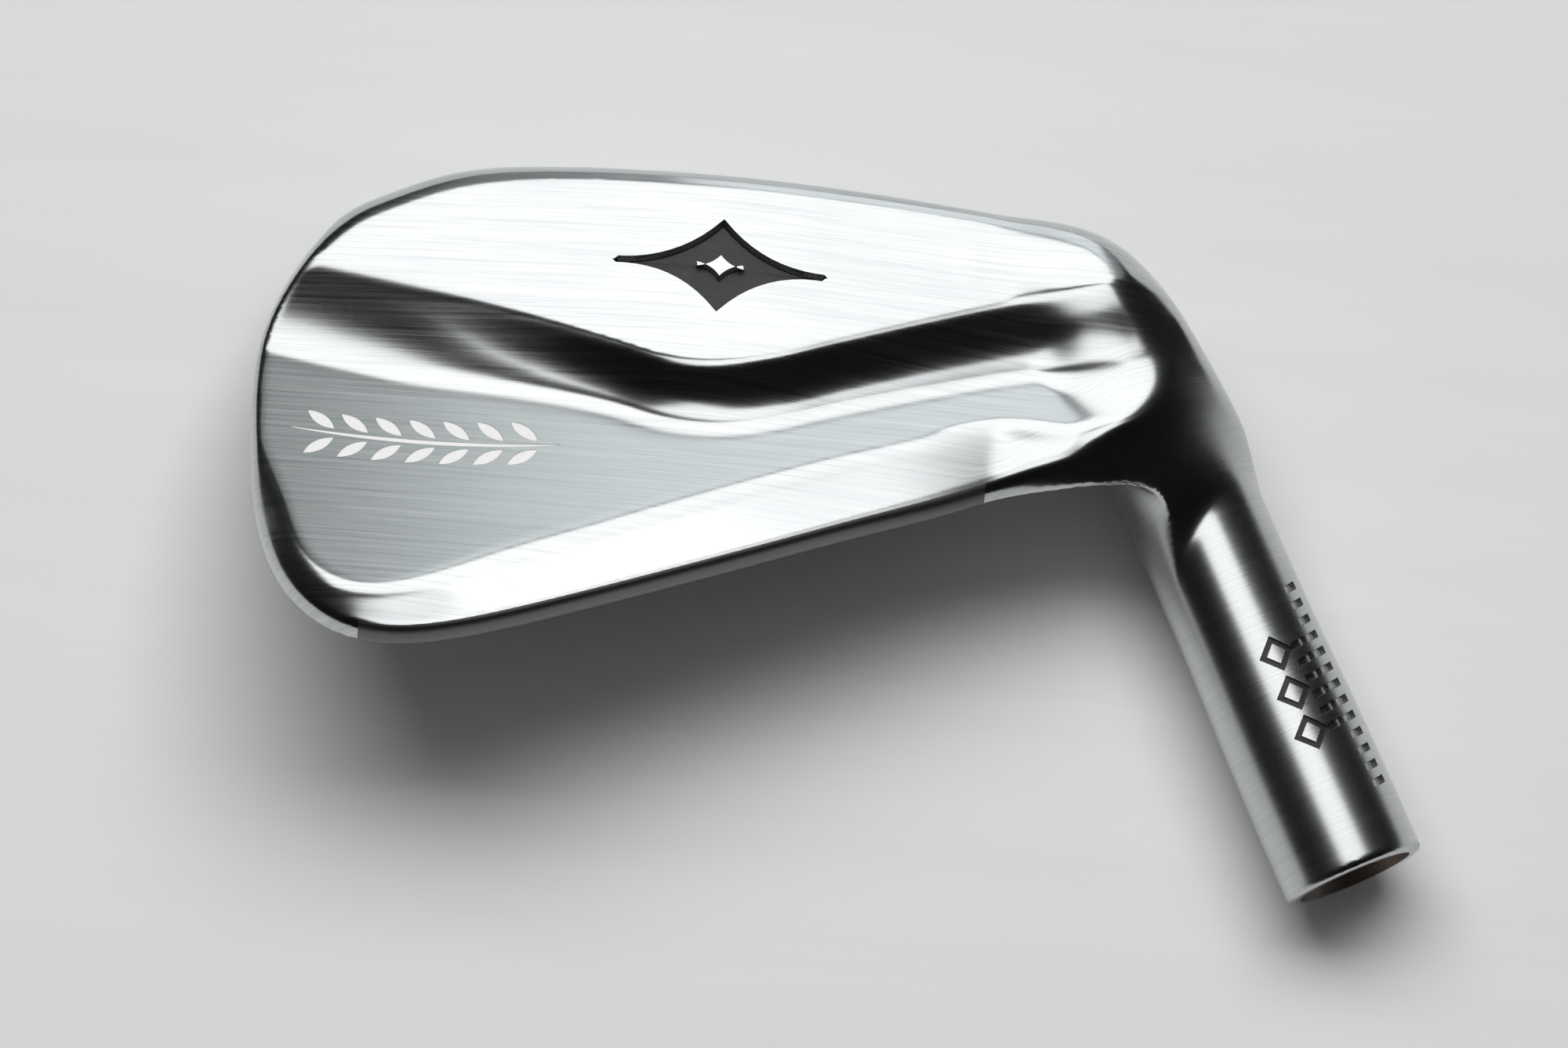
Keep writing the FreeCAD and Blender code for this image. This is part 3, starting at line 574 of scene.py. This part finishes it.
def prism(lower, upper, solids):
    """Adds a closed prism between two matching loops to a list of solids."""
    count = len(lower)
    points = list(lower) + list(upper)
    faces = [tuple(reversed(range(count))), tuple(range(count, 2 * count))]
    faces += [(i, (i + 1) % count, count + (i + 1) % count, count + i) for i in range(count)]
    solids.append((points, faces))


def turned(profile, count=96):
    """A closed solid turned about the hosel's axis from (radius, reach) pairs, in the club's frame."""
    points, faces = [], []
    for radius, reach in profile:
        for i in range(count):
            angle = 2 * math.pi * i / count
            outward = ACROSS_HOSEL * math.cos(angle) + TARGETWARD * math.sin(angle)
            points.append(UP_HOSEL * reach + radius * outward)
    last = (len(profile) - 1) * count
    for ring in range(0, last, count):
        for i in range(count):
            j = (i + 1) % count
            faces.append((ring + i, ring + j, ring + count + j, ring + count + i))
    faces += [tuple(reversed(range(count))), tuple(range(last, last + count))]
    return points, faces


def arc(start, end, bulge, count=10):
    """Points from start up to but not including end, bowed to the left of the way between them."""
    start, end = np.array(start, float), np.array(end, float)
    across = np.array([start[1] - end[1], end[0] - start[0]])
    share = np.arange(count)[:, None] / count
    return list(start + (end - start) * share + across * (4 * bulge * share * (1 - share)))


def star_loop(half_length, half_height):
    """A long four-pointed star with hollow sides."""
    tips = [(half_length, 0), (0, half_height), (-half_length, 0), (0, -half_height)]
    hollow = 0.12
    loop = []
    for start, end in zip(tips, tips[1:] + tips[:1]):
        loop += arc(start, end, hollow)
    return loop


def sprig_loops():
    """A laurel sprig: a thin bowed stem with leaves on both sides of it."""
    reach, bow, half_stem = 12.5, 0.9, 0.2
    leaf_count, leaf_length, leaf_bulge, leaf_gap, leaf_turn = 7, 3.2, -0.17, 0.55, 38
    before_leaves, without_leaves = 2.2, 6.4
    side = arc((reach, 0), (-reach, 0), -(bow + half_stem) / (2 * reach), 24)
    other = arc((-reach, 0), (reach, 0), (bow - half_stem) / (2 * reach), 24)
    loops = [side + other]
    for index in range(leaf_count):
        share = index / (leaf_count - 1)
        station = -reach + before_leaves + (2 * reach - without_leaves) * share
        stem = bow * (1 - (station / reach) ** 2)
        for side in (1, -1):
            angle = math.radians(leaf_turn) * side
            lean = np.array([math.cos(angle), math.sin(angle)])
            root = np.array([station, stem + leaf_gap * side])
            tip = root + lean * leaf_length
            loops.append(arc(root, tip, leaf_bulge, 8) + arc(tip, root, leaf_bulge, 8))
    return loops


def diamond_loop(level, half):
    """A square on its corner, up the hosel."""
    return [(half, level), (0, level + half), (-half, level), (0, level - half)]


def bar_loops(count, pitch=1.65):
    """A row of short slanted bars up the hosel."""
    bar = ((-0.9, -0.55), (0.9, -0.25), (0.9, 0.35), (-0.9, 0.05))
    loops = []
    for index in range(count):
        level = (index - (count - 1) / 2) * pitch
        loops.append([(side, level + height) for side, height in bar])
    return loops


# The outline of a plain 7.
SEVEN = ((-2.4, 2.3), (1.1, 2.3), (-1.5, -3.4), (-0.2, -3.4), (2.4, 2.3), (2.4, 3.4), (-2.4, 3.4))


def finer(loop, pieces):
    """The loop with each side in equal pieces, so that it can follow a curved surface."""
    points = []
    for start, end in zip(loop, list(loop[1:]) + [loop[0]]):
        start, end = np.array(start, float), np.array(end, float)
        points += [start + (end - start) * i / pieces for i in range(pieces)]
    return points


def left_turning(loop):
    """The loop taken anticlockwise."""
    area = sum(a[0] * b[1] - b[0] * a[1] for a, b in zip(loop, list(loop[1:]) + [loop[0]]))
    return list(loop) if area > 0 else list(reversed(loop))


def grown(loop, amount):
    """The loop moved outwards all round."""
    loop = [np.array(point, float) for point in left_turning(loop)]
    moved = []
    for before, here, after in zip([loop[-1]] + loop[:-1], loop, loop[1:] + [loop[0]]):
        first, second = here - before, after - here
        first, second = first / np.linalg.norm(first), second / np.linalg.norm(second)
        normal = np.array([first[1] + second[1], -first[0] - second[0]])
        normal = normal / max(np.dot(normal, normal) / 2, 0.35)
        moved.append(here + normal * amount)
    return moved


class Place:
    """Where a flat drawing goes on the head: turns drawing points into points on the steel's surface."""

    def __init__(self, tree, origin, across, up, outward):
        self.tree = tree
        self.origin, self.across, self.up, self.outward = origin, across, up, outward

    def at(self, point):
        """The surface point under a point of the drawing, and the way out of the metal there."""
        start = self.origin + self.across * point[0] + self.up * point[1]
        return self.hit(start, self.outward), self.outward

    def hit(self, start, outward):
        above = 12
        found = self.tree.ray_cast(Vector(start + outward * above), Vector(-outward), 2 * above)[0]
        if found is None:
            raise ValueError(f"no surface under the mark at {start}")
        return np.array(found)

    def loop(self, loop, level):
        """The loop laid on the surface and moved out by level."""
        return [surface + outward * level for surface, outward in (self.at(point) for point in loop)]


class HoselPlace(Place):
    """A drawing wrapped round the hosel: its x runs round the hosel and its y up it."""

    def __init__(self, tree, reach, turn):
        self.tree, self.reach, self.turn = tree, reach, math.radians(turn)

    def at(self, point):
        angle = self.turn + point[0] / MOUTH_RADIUS
        outward = ACROSS_HOSEL * math.sin(angle) - TARGETWARD * math.cos(angle)
        return self.hit(UP_HOSEL * (self.reach + point[1]), outward), outward


def add_mark(place, loop, cutters, fills, depth, taper, fill, island=None):
    """A recess of the loop's outline, with the paint at its bottom. island is metal left inside it."""
    longest_piece, above, overlap, clearance, island_share = 0.6, 0.5, 0.02, 0.03, 0.6
    loop = left_turning(loop)
    longest = max(np.linalg.norm(np.subtract(a, b)) for a, b in zip(loop, loop[1:]))
    pieces = math.ceil(longest / longest_piece)
    loop = finer(loop, pieces)
    wide = grown(loop, taper * (1 + above / depth))
    low, high = place.loop(loop, -depth), place.loop(wide, above)
    if island is None:
        prism(low, high, cutters)
    else:
        island = finer(left_turning(island), pieces)
        slim = grown(island, -island_share * taper * (1 + above / depth))
        collar(low, high, place.loop(island, -depth), place.loop(slim, above), cutters)
    if not fill:
        return
    outer = grown(loop, clearance)
    bottom, top = -depth - overlap, fill - depth
    low, high = place.loop(outer, bottom), place.loop(outer, top)
    if island is None:
        prism(low, high, fills)
    else:
        inner = grown(island, -clearance)
        collar(low, high, place.loop(inner, bottom), place.loop(inner, top), fills)


def collar(low, high, inner_low, inner_high, solids):
    """Adds a closed ring between two pairs of matching loops, an outer pair and an inner pair."""
    count = len(low)
    points = list(low) + list(high) + list(inner_low) + list(inner_high)
    faces = []
    for i in range(count):
        j = (i + 1) % count
        faces.append((i, j, count + j, count + i))
        faces.append((2 * count + j, 2 * count + i, 3 * count + i, 3 * count + j))
        faces.append((j, i, 2 * count + i, 2 * count + j))
        faces.append((count + i, count + j, 3 * count + j, 3 * count + i))
    solids.append((points, faces))


def facing_out(points, faces):
    """The faces, turned over if the solid they close is inside out."""
    points = np.array(points)
    centre = points.mean(0)
    volume = 0
    for face in faces:
        for second, third in zip(face[1:], face[2:]):
            across = np.cross(points[second] - centre, points[third] - centre)
            volume += np.dot(points[face[0]] - centre, across)
    return faces if volume > 0 else [tuple(reversed(face)) for face in faces]


def joined(solids):
    """One list of corners and one of faces from several closed solids, each facing outwards."""
    points, faces = [], []
    for corners, sides in solids:
        start = len(points)
        faces += [tuple(start + i for i in side) for side in facing_out(corners, sides)]
        points += [np.array(corner) for corner in corners]
    return points, faces


SCORE_COUNT = 9
SCORE_FIRST = 6
SCORE_PITCH = 3.3
SCORE_ENDS = (9.5, 62)
# Half the groove's width, and how far behind the face: at its bottom, then clear in front.
SCORE_SECTION = ((0.28, 0.45), (0.62, -0.5))


def score_lines(cutters):
    """The straight grooves across the hitting face, a little wider at the face than inside."""
    heel, toe = SCORE_ENDS
    for index in range(SCORE_COUNT):
        height = SCORE_FIRST + SCORE_PITCH * index
        loops = []
        for half, behind in SCORE_SECTION:
            low, high = height - half, height + half
            ends = ((heel, low), (toe, low), (toe, high), (heel, high))
            loops.append([club_place(np.array([x, u, behind])) for x, u in ends])
        prism(loops[0], loops[1], cutters)


def cut_all(head, tools):
    """Cuts every tool out of the head in one go."""
    change = head.modifiers.new("cut", "BOOLEAN")
    change.operation = "DIFFERENCE"
    change.solver = "MANIFOLD"
    change.object = tools
    bpy.context.view_layer.update()
    cut = bpy.data.meshes.new_from_object(head.evaluated_get(bpy.context.evaluated_depsgraph_get()))
    spent = (head.data, tools.data)
    head.modifiers.clear()
    head.data = cut
    bpy.data.objects.remove(tools)
    for mesh in spent:
        bpy.data.meshes.remove(mesh)


points, faces, normals_at = head_surface()
club_points = club_place(points)
tree_faces = [tuple(map(int, face)) for face in faces]
tree = BVHTree.FromPolygons([Vector(point) for point in club_points], tree_faces)

# The muscle's lean at address, and where each drawing's middle is.
MUSCLE_TURN = math.radians(13.5)
muscle_up = np.array([0, -math.sin(MUSCLE_TURN), math.cos(MUSCLE_TURN)])
muscle_out = np.array([0, -math.cos(MUSCLE_TURN), -math.sin(MUSCLE_TURN)])
DOWN = np.array([0, 0, -1.0])
star_place = Place(tree, club_place(np.array([32.0, 18.0, 11.0])), TOEWARD, muscle_up, muscle_out)
sprig_place = Place(tree, club_place(np.array([57.5, 35.4, 5.0])), TOEWARD, UP_FACE, BEHIND_FACE)
number_place = Place(tree, np.array([49.0, -5.0, 0.5]), TOEWARD, -TARGETWARD, DOWN)
# On the hosel a place is how far up it and how many degrees round it.
diamond_place = HoselPlace(tree, 49.5, -8)
long_row_place = HoselPlace(tree, 50, -50)
short_row_place = HoselPlace(tree, 49.5, -31)

# Each mark's depth, the lean of its sides and the thickness of its paint.
STAR_CUT = {"depth": 1.1, "taper": 0.35, "fill": 0.3}
SPRIG_CUT = {"depth": 0.4, "taper": 0.05, "fill": 0.34}
DIAMOND_CUT = {"depth": 0.45, "taper": 0.06, "fill": 0.2}
BAR_CUT = {"depth": 0.5, "taper": 0.08, "fill": 0.0}
NUMBER_CUT = {"depth": 0.6, "taper": 0.06, "fill": 0.3}

mark_cutters, star_fill, sprig_fill, hosel_fill, number_fill = [], [], [], [], []
small_star = star_loop(2.3, 1.4)
add_mark(star_place, star_loop(10.0, 4.2), mark_cutters, star_fill, **STAR_CUT, island=small_star)
for loop in sprig_loops():
    add_mark(sprig_place, loop, mark_cutters, sprig_fill, **SPRIG_CUT)
for level in (-4, 0, 4):
    outer, inner = diamond_loop(level, 1.7), diamond_loop(level, 1.05)
    add_mark(diamond_place, outer, mark_cutters, hosel_fill, **DIAMOND_CUT, island=inner)
for row_place, bar_count in ((long_row_place, 13), (short_row_place, 6)):
    for loop in bar_loops(bar_count):
        add_mark(row_place, loop, mark_cutters, None, **BAR_CUT)
add_mark(number_place, SEVEN, mark_cutters, number_fill, **NUMBER_CUT)
score_lines(mark_cutters)
# The countersink's cone goes on past the mouth, so that it cuts clear.
CLEAR_RADIUS = 0.8
CLEAR_REACH = 1.4
bore_profile = (
    (BORE_RADIUS, HOSEL_REACH - BORE_DEPTH), (BORE_RADIUS, HOSEL_REACH - SINK_DEPTH),
    (SINK_RADIUS, HOSEL_REACH), (SINK_RADIUS + CLEAR_RADIUS, HOSEL_REACH + CLEAR_REACH),
)


def read_all(items, name, kind=int, width=1):
    """One property of every item of a mesh, as an array."""
    values = np.empty(len(items) * width, kind)
    items.foreach_get(name, values)
    return values


def frame_mesh(thing):
    """Moves a mesh drawn in the club's address frame, in millimetres, to its place in the frame."""
    places = read_all(thing.data.vertices, "co", float, 3).reshape(-1, 3)
    thing.data.vertices.foreach_set("co", on_table(places).ravel())
    thing.data.update()
    return places


def add_attribute(mesh, name, values):
    """Stores three numbers for every corner of the mesh."""
    layer = mesh.attributes.new(name, "FLOAT_VECTOR", "POINT")
    layer.data.foreach_set("vector", np.ascontiguousarray(values, np.float32).ravel())


# How far up the hosel the brushing turns from along the blade to round the hosel, and how much that
# moves down the blade.
BRUSHING_TURNS = (16, 30)
TURN_PULL = 0.55
STREAK_SLANT = 0.3
HOSEL_STREAKS = 2.5


def brush_facts(places):
    """For points of the club: how far along and across the brushing they are, and its direction."""
    face = face_place(places)
    reach, side = places @ UP_HOSEL, places @ ACROSS_HOSEL
    round_hosel = np.arctan2(side, -places[:, 1])
    share = smooth_share(reach - TURN_PULL * np.maximum(face[:, 0], -6), *BRUSHING_TURNS)
    along = face[:, 0] * (1 - share) + round_hosel * MOUTH_RADIUS * share
    up_blade = face[:, 1] - STREAK_SLANT * face[:, 2]
    crosswise = up_blade * (1 - share) + HOSEL_STREAKS * reach * share
    cosine, sine = np.cos(round_hosel)[:, None], np.sin(round_hosel)[:, None]
    hosel_way = cosine * ACROSS_HOSEL + sine * TARGETWARD
    way = TOEWARD * (1 - share)[:, None] + hosel_way * share[:, None]
    return along, crosswise, (way / np.linalg.norm(way, axis=1)[:, None]) @ TURN.T


def finish_head(head):
    """Puts the head in place, with smooth normals on its skin and flat ones in its cuts."""
    mesh = head.data
    places = frame_mesh(head)
    along, crosswise, way = brush_facts(places)
    add_attribute(mesh, "face_place", face_place(places))
    add_attribute(mesh, "brush", np.stack([along, crosswise, places @ UP_HOSEL], -1))
    add_attribute(mesh, "brush_way", way)
    skin = normals_at(face_place(places))
    skin = (skin[:, :1] * TOEWARD + skin[:, 1:2] * UP_FACE + skin[:, 2:] * BEHIND_FACE) @ TURN.T
    mesh.polygons.foreach_set("use_smooth", np.ones(len(mesh.polygons), bool))
    size = read_all(mesh.polygons, "loop_total")
    flat = read_all(mesh.polygons, "normal", float, 3)
    flat = np.repeat(flat.reshape(-1, 3), size, axis=0)
    smooth = skin[read_all(mesh.loops, "vertex_index")]
    is_skin = np.repeat(read_all(mesh.polygons, "material_index"), size) == STEEL
    least_agreement = 0.7
    agrees = (smooth * flat).sum(1) > least_agreement
    normal = np.where((is_skin & agrees)[:, None], smooth, flat)
    mesh.normals_split_custom_set([tuple(direction) for direction in normal])


# The part of a noise's range that most of it is in.
MOST = (0.3, 0.7)


class Look:
    """A node material, with short ways to add nodes to it. A value can be a socket or a constant."""

    def __init__(self, name):
        self.material = bpy.data.materials.new(name)
        self.material.use_nodes = True
        self.nodes = self.material.node_tree.nodes
        self.links = self.material.node_tree.links
        self.inputs = self.nodes["Principled BSDF"].inputs

    def feed(self, socket, value):
        """Links a value to a socket, or sets it there if it is a constant."""
        if isinstance(value, bpy.types.NodeSocket):
            self.links.new(value, socket)
        else:
            socket.default_value = value

    def drive(self, name, value):
        """Links a value to an input of the shader."""
        self.links.new(value, self.inputs[name])

    def node(self, kind, **values):
        """A new node with the named inputs fed."""
        node = self.nodes.new(kind)
        for name, value in values.items():
            self.feed(node.inputs[name], value)
        return node

    def calc(self, operation, first, second):
        """A math node."""
        node = self.node("ShaderNodeMath")
        node.operation = operation
        self.feed(node.inputs[0], first)
        self.feed(node.inputs[1], second)
        return node.outputs[0]

    def noise(self, vector, stretch=(1, 1, 1), scale=1.0, detail=3, roughness=0.6):
        """A noise texture over a vector that is first stretched along its axes."""
        place = self.node("ShaderNodeMapping", Vector=vector, Scale=stretch).outputs[0]
        pattern = {"Scale": scale, "Detail": detail, "Roughness": roughness}
        return self.node("ShaderNodeTexNoise", Vector=place, **pattern).outputs["Fac"]

    def carried(self, value, before, after):
        """The value carried from one range to another."""
        node = self.node("ShaderNodeMapRange", Value=value)
        for socket, number in zip(list(node.inputs)[1:5], before + after):
            socket.default_value = number
        return node.outputs[0]

    def attribute(self, name):
        """A vector stored with the mesh's corners."""
        node = self.node("ShaderNodeAttribute")
        node.attribute_name = name
        return node.outputs["Vector"]

    def mix(self, share, first, second):
        """A blend of two colours by a share."""
        node = self.node("ShaderNodeMix")
        node.data_type = "RGBA"
        self.links.new(share, node.inputs["Factor"])
        for socket, colour in ((node.inputs[6], first), (node.inputs[7], second)):
            self.feed(socket, (*colour, 1) if isinstance(colour, tuple) else colour)
        return node.outputs[2]

    def bump(self, height, strength, distance):
        """Fine relief of the surface, distance high in metres."""
        relief = self.node("ShaderNodeBump", Height=height, Strength=strength, Distance=distance)
        self.drive("Normal", relief.outputs[0])

    def coat(self, grains, light, dark, roughness):
        """Lets one noise lead the shader between two colours and over a range of roughness."""
        self.drive("Base Color", self.mix(grains, light, dark))
        self.drive("Roughness", self.carried(grains, MOST, roughness))


# The hitting area: blasted on the face and over the topline, between its two ends.
BLASTED_ENDS = (6.0, 61.6)
FACE_SKIN = 0.35
TOPLINE_DEPTH = 2.4
TOPLINE_FROM = 16.0
BLASTED_ROUGHNESS = 0.5
BLASTED_COLOUR = (0.22, 0.22, 0.225)
GRAIN_HEIGHT = 9.0
DARK_CHROME = (0.49, 0.51, 0.52)
LIGHT_CHROME = (0.68, 0.69, 0.69)


def chrome_material():
    """Satin chrome brushed along the blade and round the hosel, with the hitting area blasted."""
    look = Look("brushed_chrome")
    calc = look.calc
    place, brush = look.attribute("face_place"), look.attribute("brush")
    x, u, w = look.node("ShaderNodeSeparateXYZ", Vector=place).outputs

    past_heel_end = calc("GREATER_THAN", x, BLASTED_ENDS[0])
    between = calc("MULTIPLY", past_heel_end, calc("LESS_THAN", x, BLASTED_ENDS[1]))
    on_face = calc("LESS_THAN", w, FACE_SKIN)
    near_face = calc("LESS_THAN", w, TOPLINE_DEPTH)
    on_topline = calc("MULTIPLY", near_face, calc("GREATER_THAN", u, TOPLINE_FROM))
    blasted = calc("MULTIPLY", between, calc("MAXIMUM", on_face, on_topline))
    brushed = calc("SUBTRACT", 1.0, blasted)

    streaks = look.noise(brush, (0.03, 2.2, 0.0), detail=5, roughness=0.75)
    fine = look.noise(brush, (0.09, 8.0, 0.0), roughness=0.7)
    grains = look.noise(place, scale=7.0, roughness=0.7)
    lines = calc("ADD", calc("MULTIPLY", streaks, 0.6), calc("MULTIPLY", fine, 0.4))
    rough = look.carried(lines, (0.35, 0.65), (0.15, 0.22))
    # Turned and polished round and round, the hosel shines more softly than the blade.
    rough = calc("ADD", rough, look.carried(x, (-20, -10), (0.045, 0.0)))
    rougher = calc("MULTIPLY", calc("SUBTRACT", BLASTED_ROUGHNESS, rough), blasted)
    look.drive("Roughness", calc("ADD", rough, rougher))
    plated = look.mix(look.carried(lines, (0.38, 0.62), (0, 1)), DARK_CHROME, LIGHT_CHROME)
    look.drive("Base Color", look.mix(blasted, plated, BLASTED_COLOUR))
    look.inputs["Metallic"].default_value = 1.0
    look.inputs["Anisotropic"].default_value = 0.55
    look.drive("Tangent", look.attribute("brush_way"))
    relief = calc("MULTIPLY", calc("MULTIPLY", grains, GRAIN_HEIGHT), blasted)
    look.bump(calc("ADD", calc("MULTIPLY", lines, brushed), relief), 0.05, 0.00003)
    return look.material


def bare_steel_material():
    """The unplated wall of the bore, dull and brown with machining rings."""
    look = Look("bare_steel")
    rings = look.noise(look.attribute("brush"), (0.0, 0.0, 9.0))
    stain = look.noise(look.attribute("face_place"), scale=0.5)
    look.drive("Base Color", look.mix(stain, (0.30, 0.25, 0.21), (0.16, 0.12, 0.10)))
    look.inputs["Metallic"].default_value = 1.0
    look.drive("Roughness", look.carried(rings, MOST, (0.38, 0.58)))
    look.bump(rings, 0.5, 0.0001)
    return look.material


def recess_material():
    """Chrome at the bottom of a pressed mark, duller than the brushed skin."""
    look = Look("recess_chrome")
    grains = look.noise(look.attribute("face_place"), scale=5.0)
    look.coat(grains, (0.50, 0.51, 0.515), (0.42, 0.43, 0.435), (0.2, 0.34))
    look.inputs["Metallic"].default_value = 1.0
    look.bump(grains, 0.3, 0.00004)
    return look.material


def paint_material(name, light, dark, roughness, grain, depth):
    """Enamel with a slight unevenness."""
    look = Look(name)
    coordinates = look.node("ShaderNodeTexCoord").outputs["Object"]
    grains = look.noise(coordinates, scale=1 / grain, detail=4, roughness=0.65)
    look.coat(grains, light, dark, (roughness, roughness + 0.15))
    look.bump(grains, 0.6, depth)
    return look.material


steels = [chrome_material(), bare_steel_material(), recess_material()]
head = mesh_object("head", club_points, faces)
bore_points, bore_faces = joined([turned(bore_profile)])
mark_points, mark_faces = joined(mark_cutters)
tool_faces = bore_faces + [tuple(len(bore_points) + i for i in face) for face in mark_faces]
kinds = [BARE_STEEL] * len(bore_faces) + [RECESS] * len(mark_faces)
tools = mesh_object("tools", list(bore_points) + list(mark_points), tool_faces)
for thing in (head, tools):
    for steel in steels:
        thing.data.materials.append(steel)
tools.data.polygons.foreach_set("material_index", kinds)
cut_all(head, tools)
finish_head(head)
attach(head, "root")
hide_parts("forged_head")

# Each paint's light and dark colours, its roughness, and its grain's size and depth in metres.
PAINTS = {
    "dark_paint": ((0.05, 0.05, 0.053), (0.022, 0.022, 0.024), 0.35, 0.0002, 0.00012),
    "white_paint": ((0.90, 0.90, 0.89), (0.82, 0.82, 0.81), 0.3, 0.0008, 0.00002),
    "black_paint": ((0.022, 0.017, 0.015), (0.012, 0.01, 0.01), 0.3, 0.0006, 0.00003),
}
paints = {name: paint_material(name, *facts) for name, facts in PAINTS.items()}
for name, solids, slot in (
    ("star_paint_fill", star_fill, "dark_paint"),
    ("sprig_paint_fill", sprig_fill, "white_paint"),
    ("hosel_paint_fill", hosel_fill, "black_paint"),
    ("number_paint_fill", number_fill, "black_paint"),
):
    fill_points, fill_faces = joined(solids)
    fill = mesh_object(name, fill_points, fill_faces)
    frame_mesh(fill)
    fill.data.materials.append(paints[slot])
    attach(fill, "root")
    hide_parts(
        name.replace("number", "sole_number").replace("hosel", "hosel_mark").replace("_fill", "")
    )


# The studio: a pale brushed table, soft boxes and a camera above the back of the head.
def floor_material():
    """Pale satin board with long faint streaks."""
    look = Look("pale_table")
    coordinates = look.node("ShaderNodeTexCoord").outputs["Object"]
    streaks = look.noise(coordinates, (4.0, 160.0, 1.0), detail=5, roughness=0.7)
    look.coat(streaks, (0.80, 0.805, 0.81), (0.76, 0.765, 0.77), (0.45, 0.6))
    return look.material


TABLE_SIZE = 6
TABLE_GAP = 0.0003
lowest = cad_box[0][2]
bpy.ops.mesh.primitive_plane_add(size=TABLE_SIZE, location=(0, 0, lowest - TABLE_GAP))
floor = bpy.context.object
floor.name = "table"
floor.data.materials.append(floor_material())

CAMERA_HEIGHT = math.radians(10.5)
CAMERA_ROLL = math.radians(5)
CAMERA_DISTANCE = 1015.0
AIM_STATION, AIM_HEIGHT, AIM_BEHIND = 24.1, 30.0, 10
PICTURE_WIDTH = 145
SENSOR_WIDTH = 36
back = np.array([0, -math.cos(CAMERA_HEIGHT), math.sin(CAMERA_HEIGHT)])
upward = np.array([0, math.sin(CAMERA_HEIGHT), math.cos(CAMERA_HEIGHT)])
picture_right = -TOEWARD * math.cos(CAMERA_ROLL) - upward * math.sin(CAMERA_ROLL)
picture_up = TOEWARD * math.sin(CAMERA_ROLL) - upward * math.cos(CAMERA_ROLL)
aim = TOEWARD * AIM_STATION + upward * AIM_HEIGHT + back * AIM_BEHIND


def turned_frame(right, up, out, spot):
    """A matrix in the frame's terms for an object whose own X, Y and Z run along club directions."""
    matrix = np.eye(4)
    matrix[:3] = np.transpose([TURN @ right, TURN @ up, TURN @ out, on_table(spot)])
    return Matrix(matrix.tolist())


camera_data = bpy.data.cameras.new("camera")
camera_data.sensor_width = SENSOR_WIDTH
camera_data.lens = SENSOR_WIDTH * CAMERA_DISTANCE / PICTURE_WIDTH
camera_data.clip_end = 20
camera = bpy.data.objects.new("camera", camera_data)
bpy.context.scene.collection.objects.link(camera)
camera.matrix_world = turned_frame(picture_right, picture_up, back, aim + back * CAMERA_DISTANCE)
bpy.context.scene.camera = camera


def soft_box(
    name, rise, side, distance, width, height, radiance,
    on_floor=False, tint=(1, 1, 1), roll=0, spot=aim,
):
    """A rectangular light seen from the head at an angle up the picture and to its right, for the
    table or else for the metal. Distance and size are in metres."""
    rise, side = math.radians(rise), math.radians(side)
    out = back * math.cos(rise) * math.cos(side) + picture_up * math.sin(rise) * math.cos(side)
    out = out + picture_right * math.sin(side)
    up = picture_up * math.cos(rise) - back * math.sin(rise)
    right = np.cross(up, out)
    right = right / np.linalg.norm(right)
    up = np.cross(out, right)
    turn = math.radians(roll)
    cosine, sine = math.cos(turn), math.sin(turn)
    right, up = right * cosine + up * sine, up * cosine - right * sine
    data = bpy.data.lights.new(name, "AREA")
    data.shape = "RECTANGLE"
    data.size, data.size_y = width, height
    data.energy = radiance * math.pi * width * height
    data.color = tint
    light = bpy.data.objects.new(name, data)
    bpy.context.scene.collection.objects.link(light)
    light.matrix_world = turned_frame(right, up, out, spot + out * distance / MM)
    light.visible_glossy = not on_floor
    light.visible_diffuse = on_floor
    light.visible_camera = False


soft_box("key", 42, 0, 2.2, width=2.6, height=1.1, radiance=5.8, on_floor=True)
soft_box("top_fill", 5, 0, 1.8, width=3.0, height=3.0, radiance=0.2, on_floor=True)
soft_box("bright_card", 49, 0, 1.1, width=1.04, height=0.54, radiance=1.72)
soft_box("back_card", 81, 12, 1.2, width=1.2, height=0.84, radiance=0.29, tint=(0.94, 1.0, 1.0))
soft_box("heel_card", 83, 13, 1.25, width=0.6, height=0.76, radiance=0.9, tint=(0.95, 1.0, 1.0))
soft_box("strip", 20, 1, 0.34, width=0.25, height=0.15, radiance=1.65, roll=27, spot=UP_HOSEL * 48)

world = bpy.data.worlds.new("studio")
world.use_nodes = True
world.node_tree.nodes["Background"].inputs["Color"].default_value = (0.006, 0.006, 0.006, 1)
bpy.context.scene.world = world
bpy.context.scene.view_settings.view_transform = "Standard"
